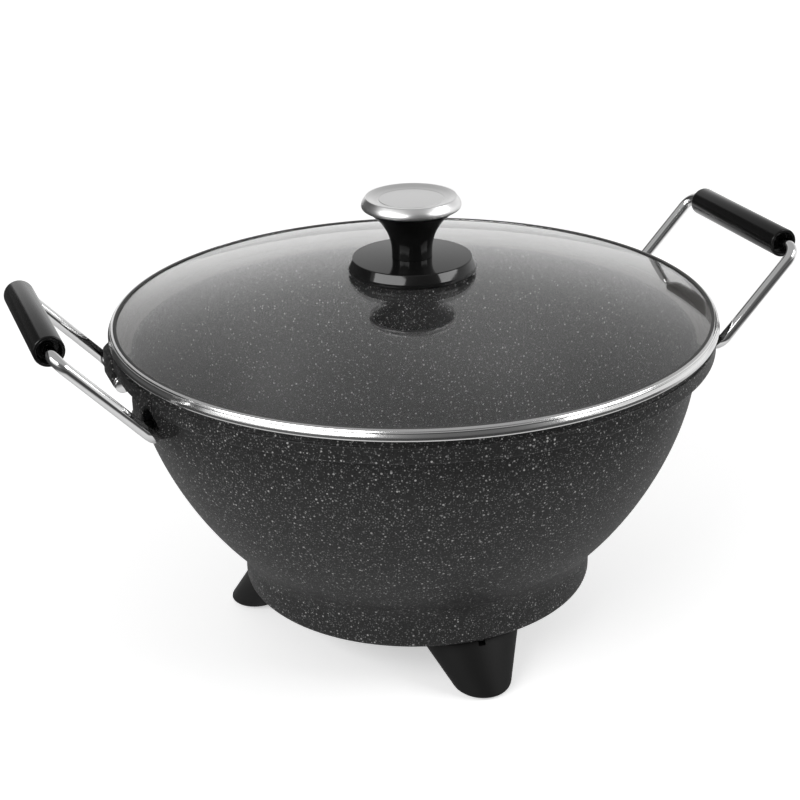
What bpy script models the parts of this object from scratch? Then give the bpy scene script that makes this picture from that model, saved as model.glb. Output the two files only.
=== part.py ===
"""Electric wok: a cast pan on three legs with a heater in its base, a lift-off glass lid and two
swinging wire handles.

Metres, +Z up. The origin is on the floor under the pan's axis. +X runs along the handles, and +Y
points to the back, where the thermostat inlet is.
"""

import math

import bmesh
import bpy
from mathutils import Matrix, Vector

# Fits that all pieces share
GAP = 0.0003
CUT_OVERRUN = 0.004
MERGE_DISTANCE = 0.00001
PAN_STEPS = 48
COVER_STEPS = 36
KNOB_STEPS = 24
SMALL_STEPS = 12
MEDIUM_STEPS = 24
SHARP_ANGLE = math.radians(35)

# Driving sizes
LID_R = 0.180
SKIRT_R = 0.1074
RIM_Z = 0.196
SKIRT_Z = 0.032

# Pan
LID_OVERHANG = 0.0015
COLLAR_R = LID_R - LID_OVERHANG
COLLAR_H = 0.0127
LEDGE_WIDTH = 0.0099
RIM_WIDTH = 0.004
RIM_ROUND = 0.0007
REBATE_WIDTH = 0.0016
REBATE_H = 0.0034
RIM_SLOPE = 0.0058
RIM_SLOPE_H = 0.0085
SEAT_STEP_H = 0.002
BOWL_R = COLLAR_R - LEDGE_WIDTH
BOWL_WALL = 0.004
FLOOR_R = 0.060
FLOOR_T = 0.006
SKIRT_WALL = 0.0058
SKIRT_BAND_H = 0.014
SKIRT_ROUND = 0.0045
CAVITY_R = SKIRT_R - SKIRT_WALL
CAVITY_H = 0.022
BOWL_STEPS = 9
SKIRT_BLEND_STEPS = 4
SKIRT_ROUND_STEPS = 4
# Shares of the bowl's radius, and of its depth below the collar
BOWL_OUTER_SHARES = ((0.994, 0.101), (0.971, 0.492), (0.703, 1.032), (0.489, 1.092))
BOWL_OUTER_END_SHARE = 0.70
BOWL_INNER_SHARES = ((0.993, 0.106), (0.963, 0.504), (0.760, 0.984))
RIM_TOP = RIM_Z - GAP
LEDGE_Z = RIM_TOP - COLLAR_H
UNDERSIDE_Z = SKIRT_Z + CAVITY_H
FLOOR_Z = UNDERSIDE_Z + FLOOR_T

# Handles: a wire loop hooked into two ears of the pan, with a tubular grip
WIRE_R = 0.0035
WIRE_SIDES = 3
HOOK_STANDOFF = 0.0039
HOOK_X = BOWL_R + HOOK_STANDOFF
HOOK_BELOW_LEDGE = 0.011
HOOK_Z = LEDGE_Z - HOOK_BELOW_LEDGE
GRIP_REACH = 0.0502
GRIP_X = HOOK_X + GRIP_REACH
GRIP_RISE = 0.0305
GRIP_Z = RIM_Z + GRIP_RISE
LOOP_L = math.hypot(GRIP_X - HOOK_X, GRIP_Z - HOOK_Z)
LOOP_TILT = math.atan2(GRIP_Z - HOOK_Z, GRIP_X - HOOK_X)
ARM_Y = 0.062
HOOK_BEND_R = 0.0075
GRIP_BEND_R = 0.0085
BEND_STEPS = 5
EAR_SETBACK = 0.012
EAR_LENGTH = 0.022
EAR_Y_OUT = ARM_Y - EAR_SETBACK
EAR_Y_IN = EAR_Y_OUT - EAR_LENGTH
EAR_WALL = 0.0037
EAR_R = WIRE_R + EAR_WALL
EAR_ROOT_DEPTH = 0.014
EAR_ROOT_X = BOWL_R - BOWL_WALL - EAR_ROOT_DEPTH
EAR_RISE = 0.0075
EAR_SHOULDER_H = 0.0045
EAR_ARC_STEPS = 5
POCKET_SLACK = 0.001
POCKET_WIDTH = 2 * (WIRE_R + GAP) + POCKET_SLACK
POCKET_DEPTH = 0.009
POCKET_RISE = 0.003
RETAINER_WALL = 0.0014
RETAINER_R = WIRE_R + RETAINER_WALL
RETAINER_L = 0.0065
RETAINER_END_T = 0.0015
RETAINER_GROOVE = 0.0006
RETAINER_GROOVE_W = 0.0012
WIRE_END_Y = EAR_Y_IN - GAP - RETAINER_L + RETAINER_END_T + GAP
GRIP_R = 0.0087
GRIP_END_GAP = 0.0136
GRIP_L = 2 * (ARM_Y - GRIP_END_GAP)
GRIP_ROUND = 0.0015
GRIP_LIP = 0.0023
GRIP_MOUTH_R = GRIP_R - GRIP_LIP
GRIP_MOUTH_DEPTH = 0.0025
GRIP_STEPS = 16

# Lid
BAND_T = 0.0009
BAND_LIP = 0.0045
BAND_ROUND = 0.0008
GLASS_R = LID_R - BAND_T - GAP
GLASS_T = 0.0035
GLASS_EDGE_H = BAND_T + GAP + GLASS_T
DOME_RISE = 0.0256
DOME_R = (GLASS_R**2 + DOME_RISE**2) / (2 * DOME_RISE)
GLASS_STEPS = 6

# Knob
KNOB_SCREW_R = 0.0025
KNOB_SCREW_HEAD_R = 0.005
KNOB_SCREW_HEAD_H = 0.003
KNOB_SCREW_GRIP_SHARE = 0.60
KNOB_SCREW_CLEARANCE = 0.0017
GLASS_HOLE_R = KNOB_SCREW_R + KNOB_SCREW_CLEARANCE
KNOB_BASE_R = 0.0380
KNOB_BASE_BEVEL = 0.0027
KNOB_BASE_UNDERCUT = 0.0017
KNOB_BASE_TOP_R = KNOB_BASE_R - KNOB_BASE_BEVEL
KNOB_BASE_FOOT_R = KNOB_BASE_R - KNOB_BASE_UNDERCUT
KNOB_BASE_H = 0.0086
KNOB_BASE_EDGE_H = 0.0034
KNOB_BASE_EDGE_INSET = 0.0002
KNOB_BASE_LIP_H = 0.0015
KNOB_BASE_CROWN = 0.0003
KNOB_R = 0.0270
KNOB_BODY_H = 0.0305
# Radius as a share of the knob's, height as a share of the body's
KNOB_BODY_SHARES = (
    (1.000, 1.000), (1.000, 0.970), (0.970, 0.938), (0.922, 0.892), (0.856, 0.839),
    (0.774, 0.774), (0.700, 0.708), (0.607, 0.590), (0.528, 0.462), (0.481, 0.341),
    (0.454, 0.230), (0.443, 0.115), (0.441, 0.000),
)
CAP_T = 0.0011
CAP_FLARE = 0.0023
CAP_R = KNOB_R + CAP_FLARE
CAP_H = 0.0068
CAP_LIP = 0.0014
# Shares of the cap's radius and height, from its centre out and down
CAP_OUTER_SHARES = (
    (0.655, 0.765), (0.760, 0.825), (0.850, 0.950), (0.905, 1.000), (0.950, 0.900),
    (0.982, 0.640), (1.000, 0.265), (0.990, 0.100), (0.962, 0.000),
)
CAP_CROWN = 0.0002
GASKET_T = 0.001
GASKET_INSET = 0.0101
UPPER_GASKET_R = KNOB_BASE_R - GASKET_INSET
LOWER_GASKET_R = 0.011
WASHER_R = 0.009
WASHER_T = 0.001

# Legs
FOOT_INSET = 0.0019
FOOT_CIRCLE_R = SKIRT_R - FOOT_INSET
FOOT_R = 0.0162
FOOT_ROUND = 0.003
LEG_TOP_Z = SKIRT_Z - GAP
LEG_TOP_INSET = 0.0254
LEG_TOP_X = SKIRT_R - LEG_TOP_INSET
LEG_TOP_HALF_X = 0.0195
LEG_TOP_HALF_Y = 0.0285
LEG_STEPS = 24
REAR_LEG_ANGLE = math.radians(63)
LEG_ANGLES = {
    "front": -math.pi / 2,
    "rear_left": math.pi / 2 + REAR_LEG_ANGLE,
    "rear_right": math.pi / 2 - REAR_LEG_ANGLE,
}
PAD_INSET = 0.0047
PAD_R = FOOT_R - PAD_INSET
PAD_T = 0.003
PAD_PROUD = 0.001
PAD_ROUND = 0.0005
LEG_SCREW_INSET = 0.0214
LEG_SCREW_X = SKIRT_R - LEG_SCREW_INSET
LEG_SCREW_DEPTH = 0.016
NOTCH_WIDTH = 0.0042
NOTCH_H = 0.0045
NOTCH_DEPTH = 0.006
NIB_CLEARANCE = 0.0006
NIB_WIDTH = NOTCH_WIDTH - 2 * NIB_CLEARANCE
NIB_DROP = 0.0025
NIB_DEPTH = 0.003

# Small screws of the base
SCREW_R = 0.0018
SCREW_HEAD_R = 0.004
SCREW_HEAD_H = 0.0022
SCREW_ROUND = 0.0006
COVER_SCREW_DEPTH = 0.012

# Inlet: the socket housing at the back of the skirt
COVER_T = 0.0025
COVER_TOP = SKIRT_Z + COVER_T
INLET_WIDTH = 0.044
INLET_H = 0.0172
INLET_Z = COVER_TOP + GAP
INLET_SETBACK = 0.0116
INLET_BACK_Y = CAVITY_R - INLET_SETBACK
INLET_PROUD = 0.0146
INLET_FRONT_Y = SKIRT_R + INLET_PROUD
INLET_WALL = 0.0025
INLET_BACK_T = 0.003
INLET_FLANGE_L = 0.012
INLET_ROUND = 0.0008
INLET_SCREW_INSET = 0.006
INLET_SCREW_X = INLET_WIDTH / 2 - INLET_SCREW_INSET
INLET_SCREW_R = 0.0014
INLET_SCREW_HEAD_R = 0.003
INLET_SCREW_HEAD_H = 0.002
EARTH_WIDTH = 0.008
EARTH_L = 0.015
EARTH_T = 0.001

# Heater and contacts
ELEMENT_R = 0.0035
ELEMENT_Z = UNDERSIDE_Z - GAP - ELEMENT_R
ELEMENT_STEPS = 30
ELEMENT_JOIN_ANGLE = math.radians(24)
ELEMENT_JOIN_STEPS = 5
ELEMENT_LEAD = 0.002
ELEMENT_SIDES = 2
CONTACT_X = 0.012
CONTACT_INSET = 0.020
CONTACT_Y = INLET_BACK_Y - CONTACT_INSET
CONTACT_Z = INLET_Z + INLET_H / 2
ELEMENT_INSET = 0.008
ELEMENT_CIRCLE_R = CONTACT_Y - ELEMENT_INSET
PIN_R = 0.0025
PIN_RECESS = 0.006
PIN_L = INLET_FRONT_Y - PIN_RECESS - CONTACT_Y
PIN_ROUND = 0.001
SLEEVE_R = 0.0036
SLEEVE_WALL = 0.001
SLEEVE_LEAD = 0.0135
SLEEVE_RECESS = 0.0125
SLEEVE_Y = CONTACT_Y - SLEEVE_LEAD
SLEEVE_L = INLET_FRONT_Y - SLEEVE_RECESS - SLEEVE_Y

# Heat reflector and base cover
REFLECTOR_CLEARANCE = 0.002
REFLECTOR_R = INLET_BACK_Y - INLET_FLANGE_L - REFLECTOR_CLEARANCE
REFLECTOR_T = 0.0008
RIB_INSET = 0.0045
RIB_R = REFLECTOR_R - RIB_INSET
RIB_T = 0.0015
RIB_H = 0.0032
REFLECTOR_Z = COVER_TOP + RIB_H + GAP
POST_R = 0.005
POST_INSET = 0.017
POST_CIRCLE_R = ELEMENT_CIRCLE_R - POST_INSET
POST_ANGLES = tuple(math.radians(angle) for angle in (-30, 90, 210))
VENT_COUNT = 6
VENT_W = 0.003
VENT_INSET = 0.009
VENT_IN_R = 0.016
VENT_OUT_R = POST_CIRCLE_R - VENT_INSET

# Colour, roughness and metallic value of each finish
FINISHES = {
    "granite_coating": ((0.035, 0.035, 0.037), 0.45, 0.0),
    "black_plastic": ((0.012, 0.012, 0.013), 0.40, 0.0),
    "gloss_black": ((0.006, 0.006, 0.007), 0.12, 0.0),
    "chrome": ((0.75, 0.75, 0.76), 0.08, 1.0),
    "polished_steel": ((0.62, 0.62, 0.63), 0.18, 1.0),
    "satin_steel": ((0.66, 0.66, 0.67), 0.32, 1.0),
    "clear_glass": ((0.90, 0.93, 0.92), 0.02, 0.0),
    "silicone": ((0.30, 0.30, 0.31), 0.70, 0.0),
    "rubber": ((0.02, 0.02, 0.02), 0.80, 0.0),
    "nickel": ((0.60, 0.58, 0.54), 0.25, 1.0),
    "element_steel": ((0.20, 0.19, 0.18), 0.45, 1.0),
}


def clear_scene():
    """Remove every object that the start-up file holds."""
    for obj in list(bpy.data.objects):
        bpy.data.objects.remove(obj, do_unlink=True)


def new_collection(name):
    collection = bpy.data.collections.new(name)
    bpy.context.scene.collection.children.link(collection)
    return collection


def material_for(finish):
    """The Principled material of one finish, made once."""
    found = bpy.data.materials.get(finish)
    if found:
        return found
    color, roughness, metallic = FINISHES[finish]
    material = bpy.data.materials.new(finish)
    material.use_nodes = True
    shader = material.node_tree.nodes["Principled BSDF"]
    shader.inputs["Base Color"].default_value = (*color, 1.0)
    shader.inputs["Roughness"].default_value = roughness
    shader.inputs["Metallic"].default_value = metallic
    material.diffuse_color = (*color, 1.0)
    return material


def own_material(obj, finish):
    """Give a piece its own copy of a finish."""
    material = material_for(finish).copy()
    material.name = f"{obj.name}_{finish}"
    obj.data.materials.append(material)


def add_piece(name, data, finish, parent=None):
    """Link a part of the wok to its collection."""
    obj = bpy.data.objects.new(name, data)
    PARTS.objects.link(obj)
    obj.parent = parent
    own_material(obj, finish)
    return obj


def add_helper(name, data):
    """Link a solid that only cuts or joins."""
    obj = bpy.data.objects.new(name, data)
    HELPERS.objects.link(obj)
    obj.hide_render = True
    obj.display_type = "WIRE"
    return obj


def add_frame(name, location, turn=0.0, parent=None):
    """An empty that carries pieces which move or sit together."""
    frame = bpy.data.objects.new(name, None)
    PARTS.objects.link(frame)
    frame.location = location
    frame.rotation_euler.z = turn
    frame.parent = parent
    return frame


def profile_mesh(name, points, closed):
    """A profile in the XZ plane for a Screw modifier, running down its outer side."""
    mesh = bpy.data.meshes.new(name)
    edges = [(index, index + 1) for index in range(len(points) - 1)]
    if closed:
        edges.append((len(points) - 1, 0))
    mesh.from_pydata([(radius, 0.0, height) for radius, height in points], edges, [])
    return mesh


def add_turn(obj, steps):
    screw = obj.modifiers.new("turn", "SCREW")
    screw.axis = "Z"
    screw.angle = math.tau
    screw.steps = steps
    screw.render_steps = steps
    screw.use_merge_vertices = True
    screw.merge_threshold = MERGE_DISTANCE
    screw.use_smooth_shade = True
    return screw


def turned(name, points, steps, finish, parent=None, closed=False):
    """A part turned about its own Z axis."""
    obj = add_piece(name, profile_mesh(name, points, closed), finish, parent)
    add_turn(obj, steps)
    return obj


def turned_helper(name, points, steps, closed=False):
    obj = add_helper(name, profile_mesh(name, points, closed))
    add_turn(obj, steps)
    return obj


def cylinder_profile(radius, low, high):
    return [(0.0, high), (radius, high), (radius, low), (0.0, low)]


def box_mesh(name, low, high):
    """A box between two corners."""
    low, high = Vector(low), Vector(high)
    mesh = bpy.data.meshes.new(name)
    shape = bmesh.new()
    bmesh.ops.create_cube(shape, size=1.0)
    bmesh.ops.scale(shape, vec=high - low, verts=shape.verts)
    bmesh.ops.translate(shape, vec=(low + high) / 2, verts=shape.verts)
    shape.to_mesh(mesh)
    shape.free()
    return mesh


def smooth(obj):
    obj.data.shade_smooth()
    obj.data.set_sharp_from_angle(angle=SHARP_ANGLE)


def boolean(obj, other, operation):
    modifier = obj.modifiers.new(other.name, "BOOLEAN")
    modifier.operation = operation
    modifier.object = other
    return modifier


def bezier(controls, share):
    """A point on a Bezier curve of any degree."""
    points = [Vector(point) for point in controls]
    while len(points) > 1:
        points = [a.lerp(b, share) for a, b in zip(points, points[1:])]
    return points[0]


def bezier_run(controls, steps, last=1.0):
    return [tuple(bezier(controls, last * step / steps)) for step in range(steps + 1)]


def arc(center, radius, start, end, steps):
    """Points of an arc in a plane, from one angle to another."""
    angles = [start + (end - start) * step / steps for step in range(steps + 1)]
    return [
        (center[0] + radius * math.cos(angle), center[1] + radius * math.sin(angle))
        for angle in angles
    ]


def outline_mesh(name, points, thickness):
    """A flat outline in the XZ plane, thickened along Y about that plane."""
    curve = bpy.data.curves.new(name, "CURVE")
    curve.dimensions = "2D"
    curve.fill_mode = "BOTH"
    curve.extrude = thickness / 2
    spline = curve.splines.new("POLY")
    spline.points.add(len(points) - 1)
    for point, (across, up) in zip(spline.points, points):
        point.co = (across, up, 0.0, 1.0)
    spline.use_cyclic_u = True
    carrier = bpy.data.objects.new(name, curve)
    bpy.context.scene.collection.objects.link(carrier)
    bpy.context.view_layer.update()
    graph = bpy.context.evaluated_depsgraph_get()
    mesh = bpy.data.meshes.new_from_object(carrier.evaluated_get(graph))
    bpy.data.objects.remove(carrier, do_unlink=True)
    shape = bmesh.new()
    shape.from_mesh(mesh)
    bmesh.ops.remove_doubles(shape, verts=shape.verts, dist=MERGE_DISTANCE)
    bmesh.ops.rotate(
        shape, verts=shape.verts, cent=(0, 0, 0), matrix=Matrix.Rotation(math.pi / 2, 3, "X")
    )
    bmesh.ops.recalc_face_normals(shape, faces=shape.faces)
    shape.to_mesh(mesh)
    shape.free()
    return mesh


def wire_curve(name, points, radius, sides):
    """A round wire through a list of points."""
    curve = bpy.data.curves.new(name, "CURVE")
    curve.dimensions = "3D"
    curve.bevel_depth = radius
    curve.bevel_resolution = sides
    curve.use_fill_caps = True
    spline = curve.splines.new("POLY")
    spline.points.add(len(points) - 1)
    for point, place in zip(spline.points, points):
        point.co = (*place, 1.0)
    return curve


def screw_profile(head_r, head_h, shank_r, shank_l):
    """A pan-head screw with its head upwards and its seat at height zero."""
    return [
        (0.0, head_h),
        (head_r - SCREW_ROUND, head_h),
        (head_r, head_h - SCREW_ROUND),
        (head_r, 0.0),
        (shank_r, 0.0),
        (shank_r, -shank_l),
        (0.0, -shank_l),
    ]


def on_circle(radius, angle, height=0.0):
    return (radius * math.cos(angle), radius * math.sin(angle), height)


def hole_cutter(name, radius, place, low, high, steps=SMALL_STEPS):
    cutter = turned_helper(name, cylinder_profile(radius, low, high), steps)
    cutter.location = (place[0], place[1], 0.0)
    return cutter


# The pan

def bowl_outer_points():
    """The pan's outer surface from the collar down to where the skirt takes over."""
    depth = LEDGE_Z - UNDERSIDE_Z
    controls = [(r * BOWL_R, LEDGE_Z - d * depth) for r, d in BOWL_OUTER_SHARES]
    return bezier_run(controls, BOWL_STEPS, BOWL_OUTER_END_SHARE)


def bowl_inner_points():
    """The cooking surface from below the rim to the edge of the flat floor."""
    radius = BOWL_R - BOWL_WALL
    depth = LEDGE_Z - FLOOR_Z
    controls = [(r * radius, LEDGE_Z - d * depth) for r, d in BOWL_INNER_SHARES]
    return bezier_run([*controls, (FLOOR_R, FLOOR_Z)], BOWL_STEPS)


def skirt_points():
    """The soft step from the bowl to the skirt, and the skirt's rounded lower edge."""
    start = bowl_outer_points()[-1]
    band_top = SKIRT_Z + SKIRT_BAND_H
    corner = (SKIRT_R, max(start[1] - abs(start[0] - SKIRT_R), band_top))
    blend = bezier_run([start, corner, (SKIRT_R, band_top)], SKIRT_BLEND_STEPS)
    center = (SKIRT_R - SKIRT_ROUND, SKIRT_Z + SKIRT_ROUND)
    return blend[1:] + arc(center, SKIRT_ROUND, 0.0, -math.pi / 2, SKIRT_ROUND_STEPS)


def ear_outline():
    """An ear's section across the wire's hook, round below and sloped where it meets the collar."""
    top = LEDGE_Z + EAR_RISE
    return [
        (EAR_ROOT_X, top),
        (HOOK_X, top),
        (HOOK_X + EAR_R, top - EAR_SHOULDER_H),
        *arc((HOOK_X, HOOK_Z), EAR_R, 0.0, -math.pi / 2, EAR_ARC_STEPS),
        (EAR_ROOT_X, HOOK_Z - EAR_R),
    ]


def build_pan():
    shoulder_z = RIM_TOP - REBATE_H
    outer = [
        (0.0, RIM_TOP),
        (COLLAR_R - REBATE_WIDTH, RIM_TOP),
        (COLLAR_R - REBATE_WIDTH, shoulder_z),
        (COLLAR_R - RIM_ROUND, shoulder_z),
        (COLLAR_R, shoulder_z - RIM_ROUND),
        (COLLAR_R, LEDGE_Z),
        (BOWL_R, LEDGE_Z),
        *bowl_outer_points(),
        *skirt_points(),
        (0.0, SKIRT_Z),
    ]
    pan = turned("wok_pan", outer, PAN_STEPS, "granite_coating")
    for side in (1, -1):
        for end in (1, -1):
            ear = add_helper(
                f"ear_{side}_{end}", outline_mesh("ear", ear_outline(), EAR_Y_OUT - EAR_Y_IN)
            )
            middle = end * (EAR_Y_IN + EAR_Y_OUT) / 2
            ear.matrix_world = Matrix.Rotation(0.0 if side > 0 else math.pi, 4, "Z") @ (
                Matrix.Translation((0.0, middle, 0.0))
            )
            boolean(pan, ear, "UNION")
    for name, angle in LEG_ANGLES.items():
        nib = add_helper(f"nib_{name}", box_mesh("nib", *nib_corners()))
        nib.rotation_euler.z = angle
        boolean(pan, nib, "UNION")
    rim_in = COLLAR_R - RIM_WIDTH
    slope_z = RIM_TOP - RIM_SLOPE_H
    bowl_in = [
        (0.0, RIM_TOP + CUT_OVERRUN),
        (rim_in, RIM_TOP + CUT_OVERRUN),
        (rim_in, RIM_TOP),
        (rim_in - RIM_SLOPE, slope_z),
        (BOWL_R - BOWL_WALL, slope_z - SEAT_STEP_H),
        *bowl_inner_points(),
        (0.0, FLOOR_Z),
    ]
    boolean(pan, turned_helper("bowl_hollow", bowl_in, PAN_STEPS), "DIFFERENCE")
    cavity = cylinder_profile(CAVITY_R, SKIRT_Z - NIB_DROP - CUT_OVERRUN, UNDERSIDE_Z)
    boolean(pan, turned_helper("heater_hollow", cavity, PAN_STEPS), "DIFFERENCE")
    for number, angle in enumerate(POST_ANGLES, 1):
        place = on_circle(POST_CIRCLE_R, angle)
        post = hole_cutter(
            f"post_{number}", POST_R, place, COVER_TOP + GAP, UNDERSIDE_Z + FLOOR_T / 2
        )
        boolean(pan, post, "UNION")
        top = COVER_TOP + COVER_SCREW_DEPTH + GAP
        pilot = hole_cutter(f"post_pilot_{number}", SCREW_R + GAP, place, SKIRT_Z, top)
        boolean(pan, pilot, "DIFFERENCE")
    cut_ears(pan)
    window = add_helper("inlet_window", box_mesh("inlet_window", *inlet_window_corners()))
    boolean(pan, window, "DIFFERENCE")
    return pan


def nib_corners():
    """A small tongue under the skirt that keys into the leg's notch."""
    outside = SKIRT_R - SKIRT_ROUND
    inside = outside - NIB_DEPTH
    return (inside, -NIB_WIDTH / 2, SKIRT_Z - NIB_DROP), (outside, NIB_WIDTH / 2, SKIRT_Z + NIB_DROP)


def inlet_window_corners():
    half = INLET_WIDTH / 2 + GAP
    low = (-half, CAVITY_R - CUT_OVERRUN, INLET_Z - GAP)
    return low, (half, INLET_FRONT_Y + CUT_OVERRUN, INLET_Z + INLET_H + GAP)


def cut_ears(pan):
    """Bore each pair of ears for the wire's hook and open the pockets that the hooks enter."""
    pocket_x = HOOK_X - POCKET_WIDTH / 2
    pocket_top = LEDGE_Z + POCKET_RISE
    for side in (1, -1):
        for end in (1, -1):
            bore = turned_helper(
                f"hook_bore_{side}_{end}",
                cylinder_profile(WIRE_R + GAP, EAR_Y_IN - CUT_OVERRUN, EAR_Y_OUT + CUT_OVERRUN),
                MEDIUM_STEPS,
            )
            bore.matrix_world = hook_matrix(side, end)
            boolean(pan, bore, "DIFFERENCE")
            near = end * (EAR_Y_OUT - POCKET_DEPTH)
            far = end * (EAR_Y_OUT + CUT_OVERRUN)
            pocket = add_helper(
                f"hook_pocket_{side}_{end}",
                box_mesh(
                    "hook_pocket",
                    (pocket_x, min(near, far), HOOK_Z - WIRE_R - 2 * GAP),
                    (pocket_x + POCKET_WIDTH, max(near, far), pocket_top),
                ),
            )
            pocket.rotation_euler.z = 0.0 if side > 0 else math.pi
            boolean(pan, pocket, "DIFFERENCE")


def hook_matrix(side, end):
    """Z along the hook's axis away from the handle's middle, on the hook's axis."""
    turn = Matrix.Rotation(0.0 if side > 0 else math.pi, 4, "Z")
    tip = Matrix.Rotation(-end * math.pi / 2, 4, "X")
    return turn @ Matrix.Translation((HOOK_X, 0.0, HOOK_Z)) @ tip


# The handles

def loop_points():
    """Half turns of the wire, hook to hook, in the plane of the loop: across, then up the arms."""
    hook = arc(
        (ARM_Y - HOOK_BEND_R, HOOK_BEND_R), HOOK_BEND_R, -math.pi / 2, 0.0, BEND_STEPS
    )
    shoulder = arc(
        (ARM_Y - GRIP_BEND_R, LOOP_L - GRIP_BEND_R), GRIP_BEND_R, 0.0, math.pi / 2, BEND_STEPS
    )
    half = [(WIRE_END_Y, 0.0), *hook, *shoulder]
    return half + [(-across, up) for across, up in reversed(half)]


def build_handle(name, side):
    """One wire loop on its hook axis, its two retainers and its grip."""
    turn = 0.0 if side > 0 else math.pi
    frame = add_frame(f"{name}_hook_axis", (side * HOOK_X, 0.0, HOOK_Z), turn)
    rise = (math.cos(LOOP_TILT), math.sin(LOOP_TILT))
    points = [(up * rise[0], across, up * rise[1]) for across, up in loop_points()]
    add_piece(
        f"handle_wire_{name}", wire_curve("handle_wire", points, WIRE_R, WIRE_SIDES), "chrome", frame
    )
    inner = WIRE_R + GAP
    groove = RETAINER_R - RETAINER_GROOVE
    groove_z = RETAINER_L / 2
    cap = [
        (inner, RETAINER_L),
        (RETAINER_R, RETAINER_L),
        (RETAINER_R, groove_z + RETAINER_GROOVE_W / 2),
        (groove, groove_z + RETAINER_GROOVE_W / 2),
        (groove, groove_z - RETAINER_GROOVE_W / 2),
        (RETAINER_R, groove_z - RETAINER_GROOVE_W / 2),
        (RETAINER_R, RETAINER_GROOVE),
        (RETAINER_R - RETAINER_GROOVE, 0.0),
        (0.0, 0.0),
    ]
    profile = [(0.0, RETAINER_END_T), (inner, RETAINER_END_T), *cap]
    for label, end in (("rear", side), ("front", -side)):
        retainer = turned(f"wire_retainer_{name}_{label}", profile, SMALL_STEPS, "chrome", frame)
        retainer.rotation_euler.x = -end * math.pi / 2
        retainer.location.y = end * (EAR_Y_IN - GAP - RETAINER_L)
    build_grip(name, frame, rise)


def build_grip(name, frame, rise):
    """A round tube with open mouths, turning on the wire's crossbar."""
    half = GRIP_L / 2
    bore = WIRE_R + GAP
    profile = [
        (GRIP_MOUTH_R, half),
        (GRIP_R - GRIP_ROUND, half),
        (GRIP_R, half - GRIP_ROUND),
        (GRIP_R, GRIP_ROUND - half),
        (GRIP_R - GRIP_ROUND, -half),
        (GRIP_MOUTH_R, -half),
        (bore, GRIP_MOUTH_DEPTH - half),
        (bore, half - GRIP_MOUTH_DEPTH),
    ]
    grip = turned(f"handle_grip_{name}", profile, GRIP_STEPS, "gloss_black", frame, closed=True)
    grip.rotation_euler.x = math.pi / 2
    grip.location = (LOOP_L * rise[0], 0.0, LOOP_L * rise[1])


# The lid

def glass_top(radius):
    """Height of the glass over the rim at a radius."""
    sag = DOME_R - math.sqrt(DOME_R**2 - radius**2)
    return GLASS_EDGE_H + DOME_RISE - sag


def build_lid():
    lid = add_frame("lid_axis", (0.0, 0.0, RIM_Z))
    radii = [
        GLASS_HOLE_R + (GLASS_R - GLASS_HOLE_R) * step / GLASS_STEPS
        for step in range(GLASS_STEPS + 1)
    ]
    top = [(radius, glass_top(radius)) for radius in radii]
    bottom = [(radius, height - GLASS_T) for radius, height in reversed(top)]
    turned("lid_glass", top + bottom, PAN_STEPS, "clear_glass", lid, closed=True)
    lip_r = LID_R - BAND_LIP
    wall_in = LID_R - BAND_T
    lip_z = glass_top(lip_r) + GAP
    edge_z = glass_top(GLASS_R) + GAP
    band = [
        (lip_r, lip_z + BAND_T),
        (wall_in, edge_z + BAND_T),
        (LID_R, edge_z + BAND_T - BAND_ROUND),
        (LID_R, BAND_ROUND),
        (LID_R - BAND_ROUND, 0.0),
        (lip_r, 0.0),
        (lip_r, BAND_T),
        (wall_in, BAND_T),
        (wall_in, edge_z),
        (lip_r, lip_z),
    ]
    turned("lid_rim_band", band, PAN_STEPS, "polished_steel", lid, closed=True)
    build_knob(lid)


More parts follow.
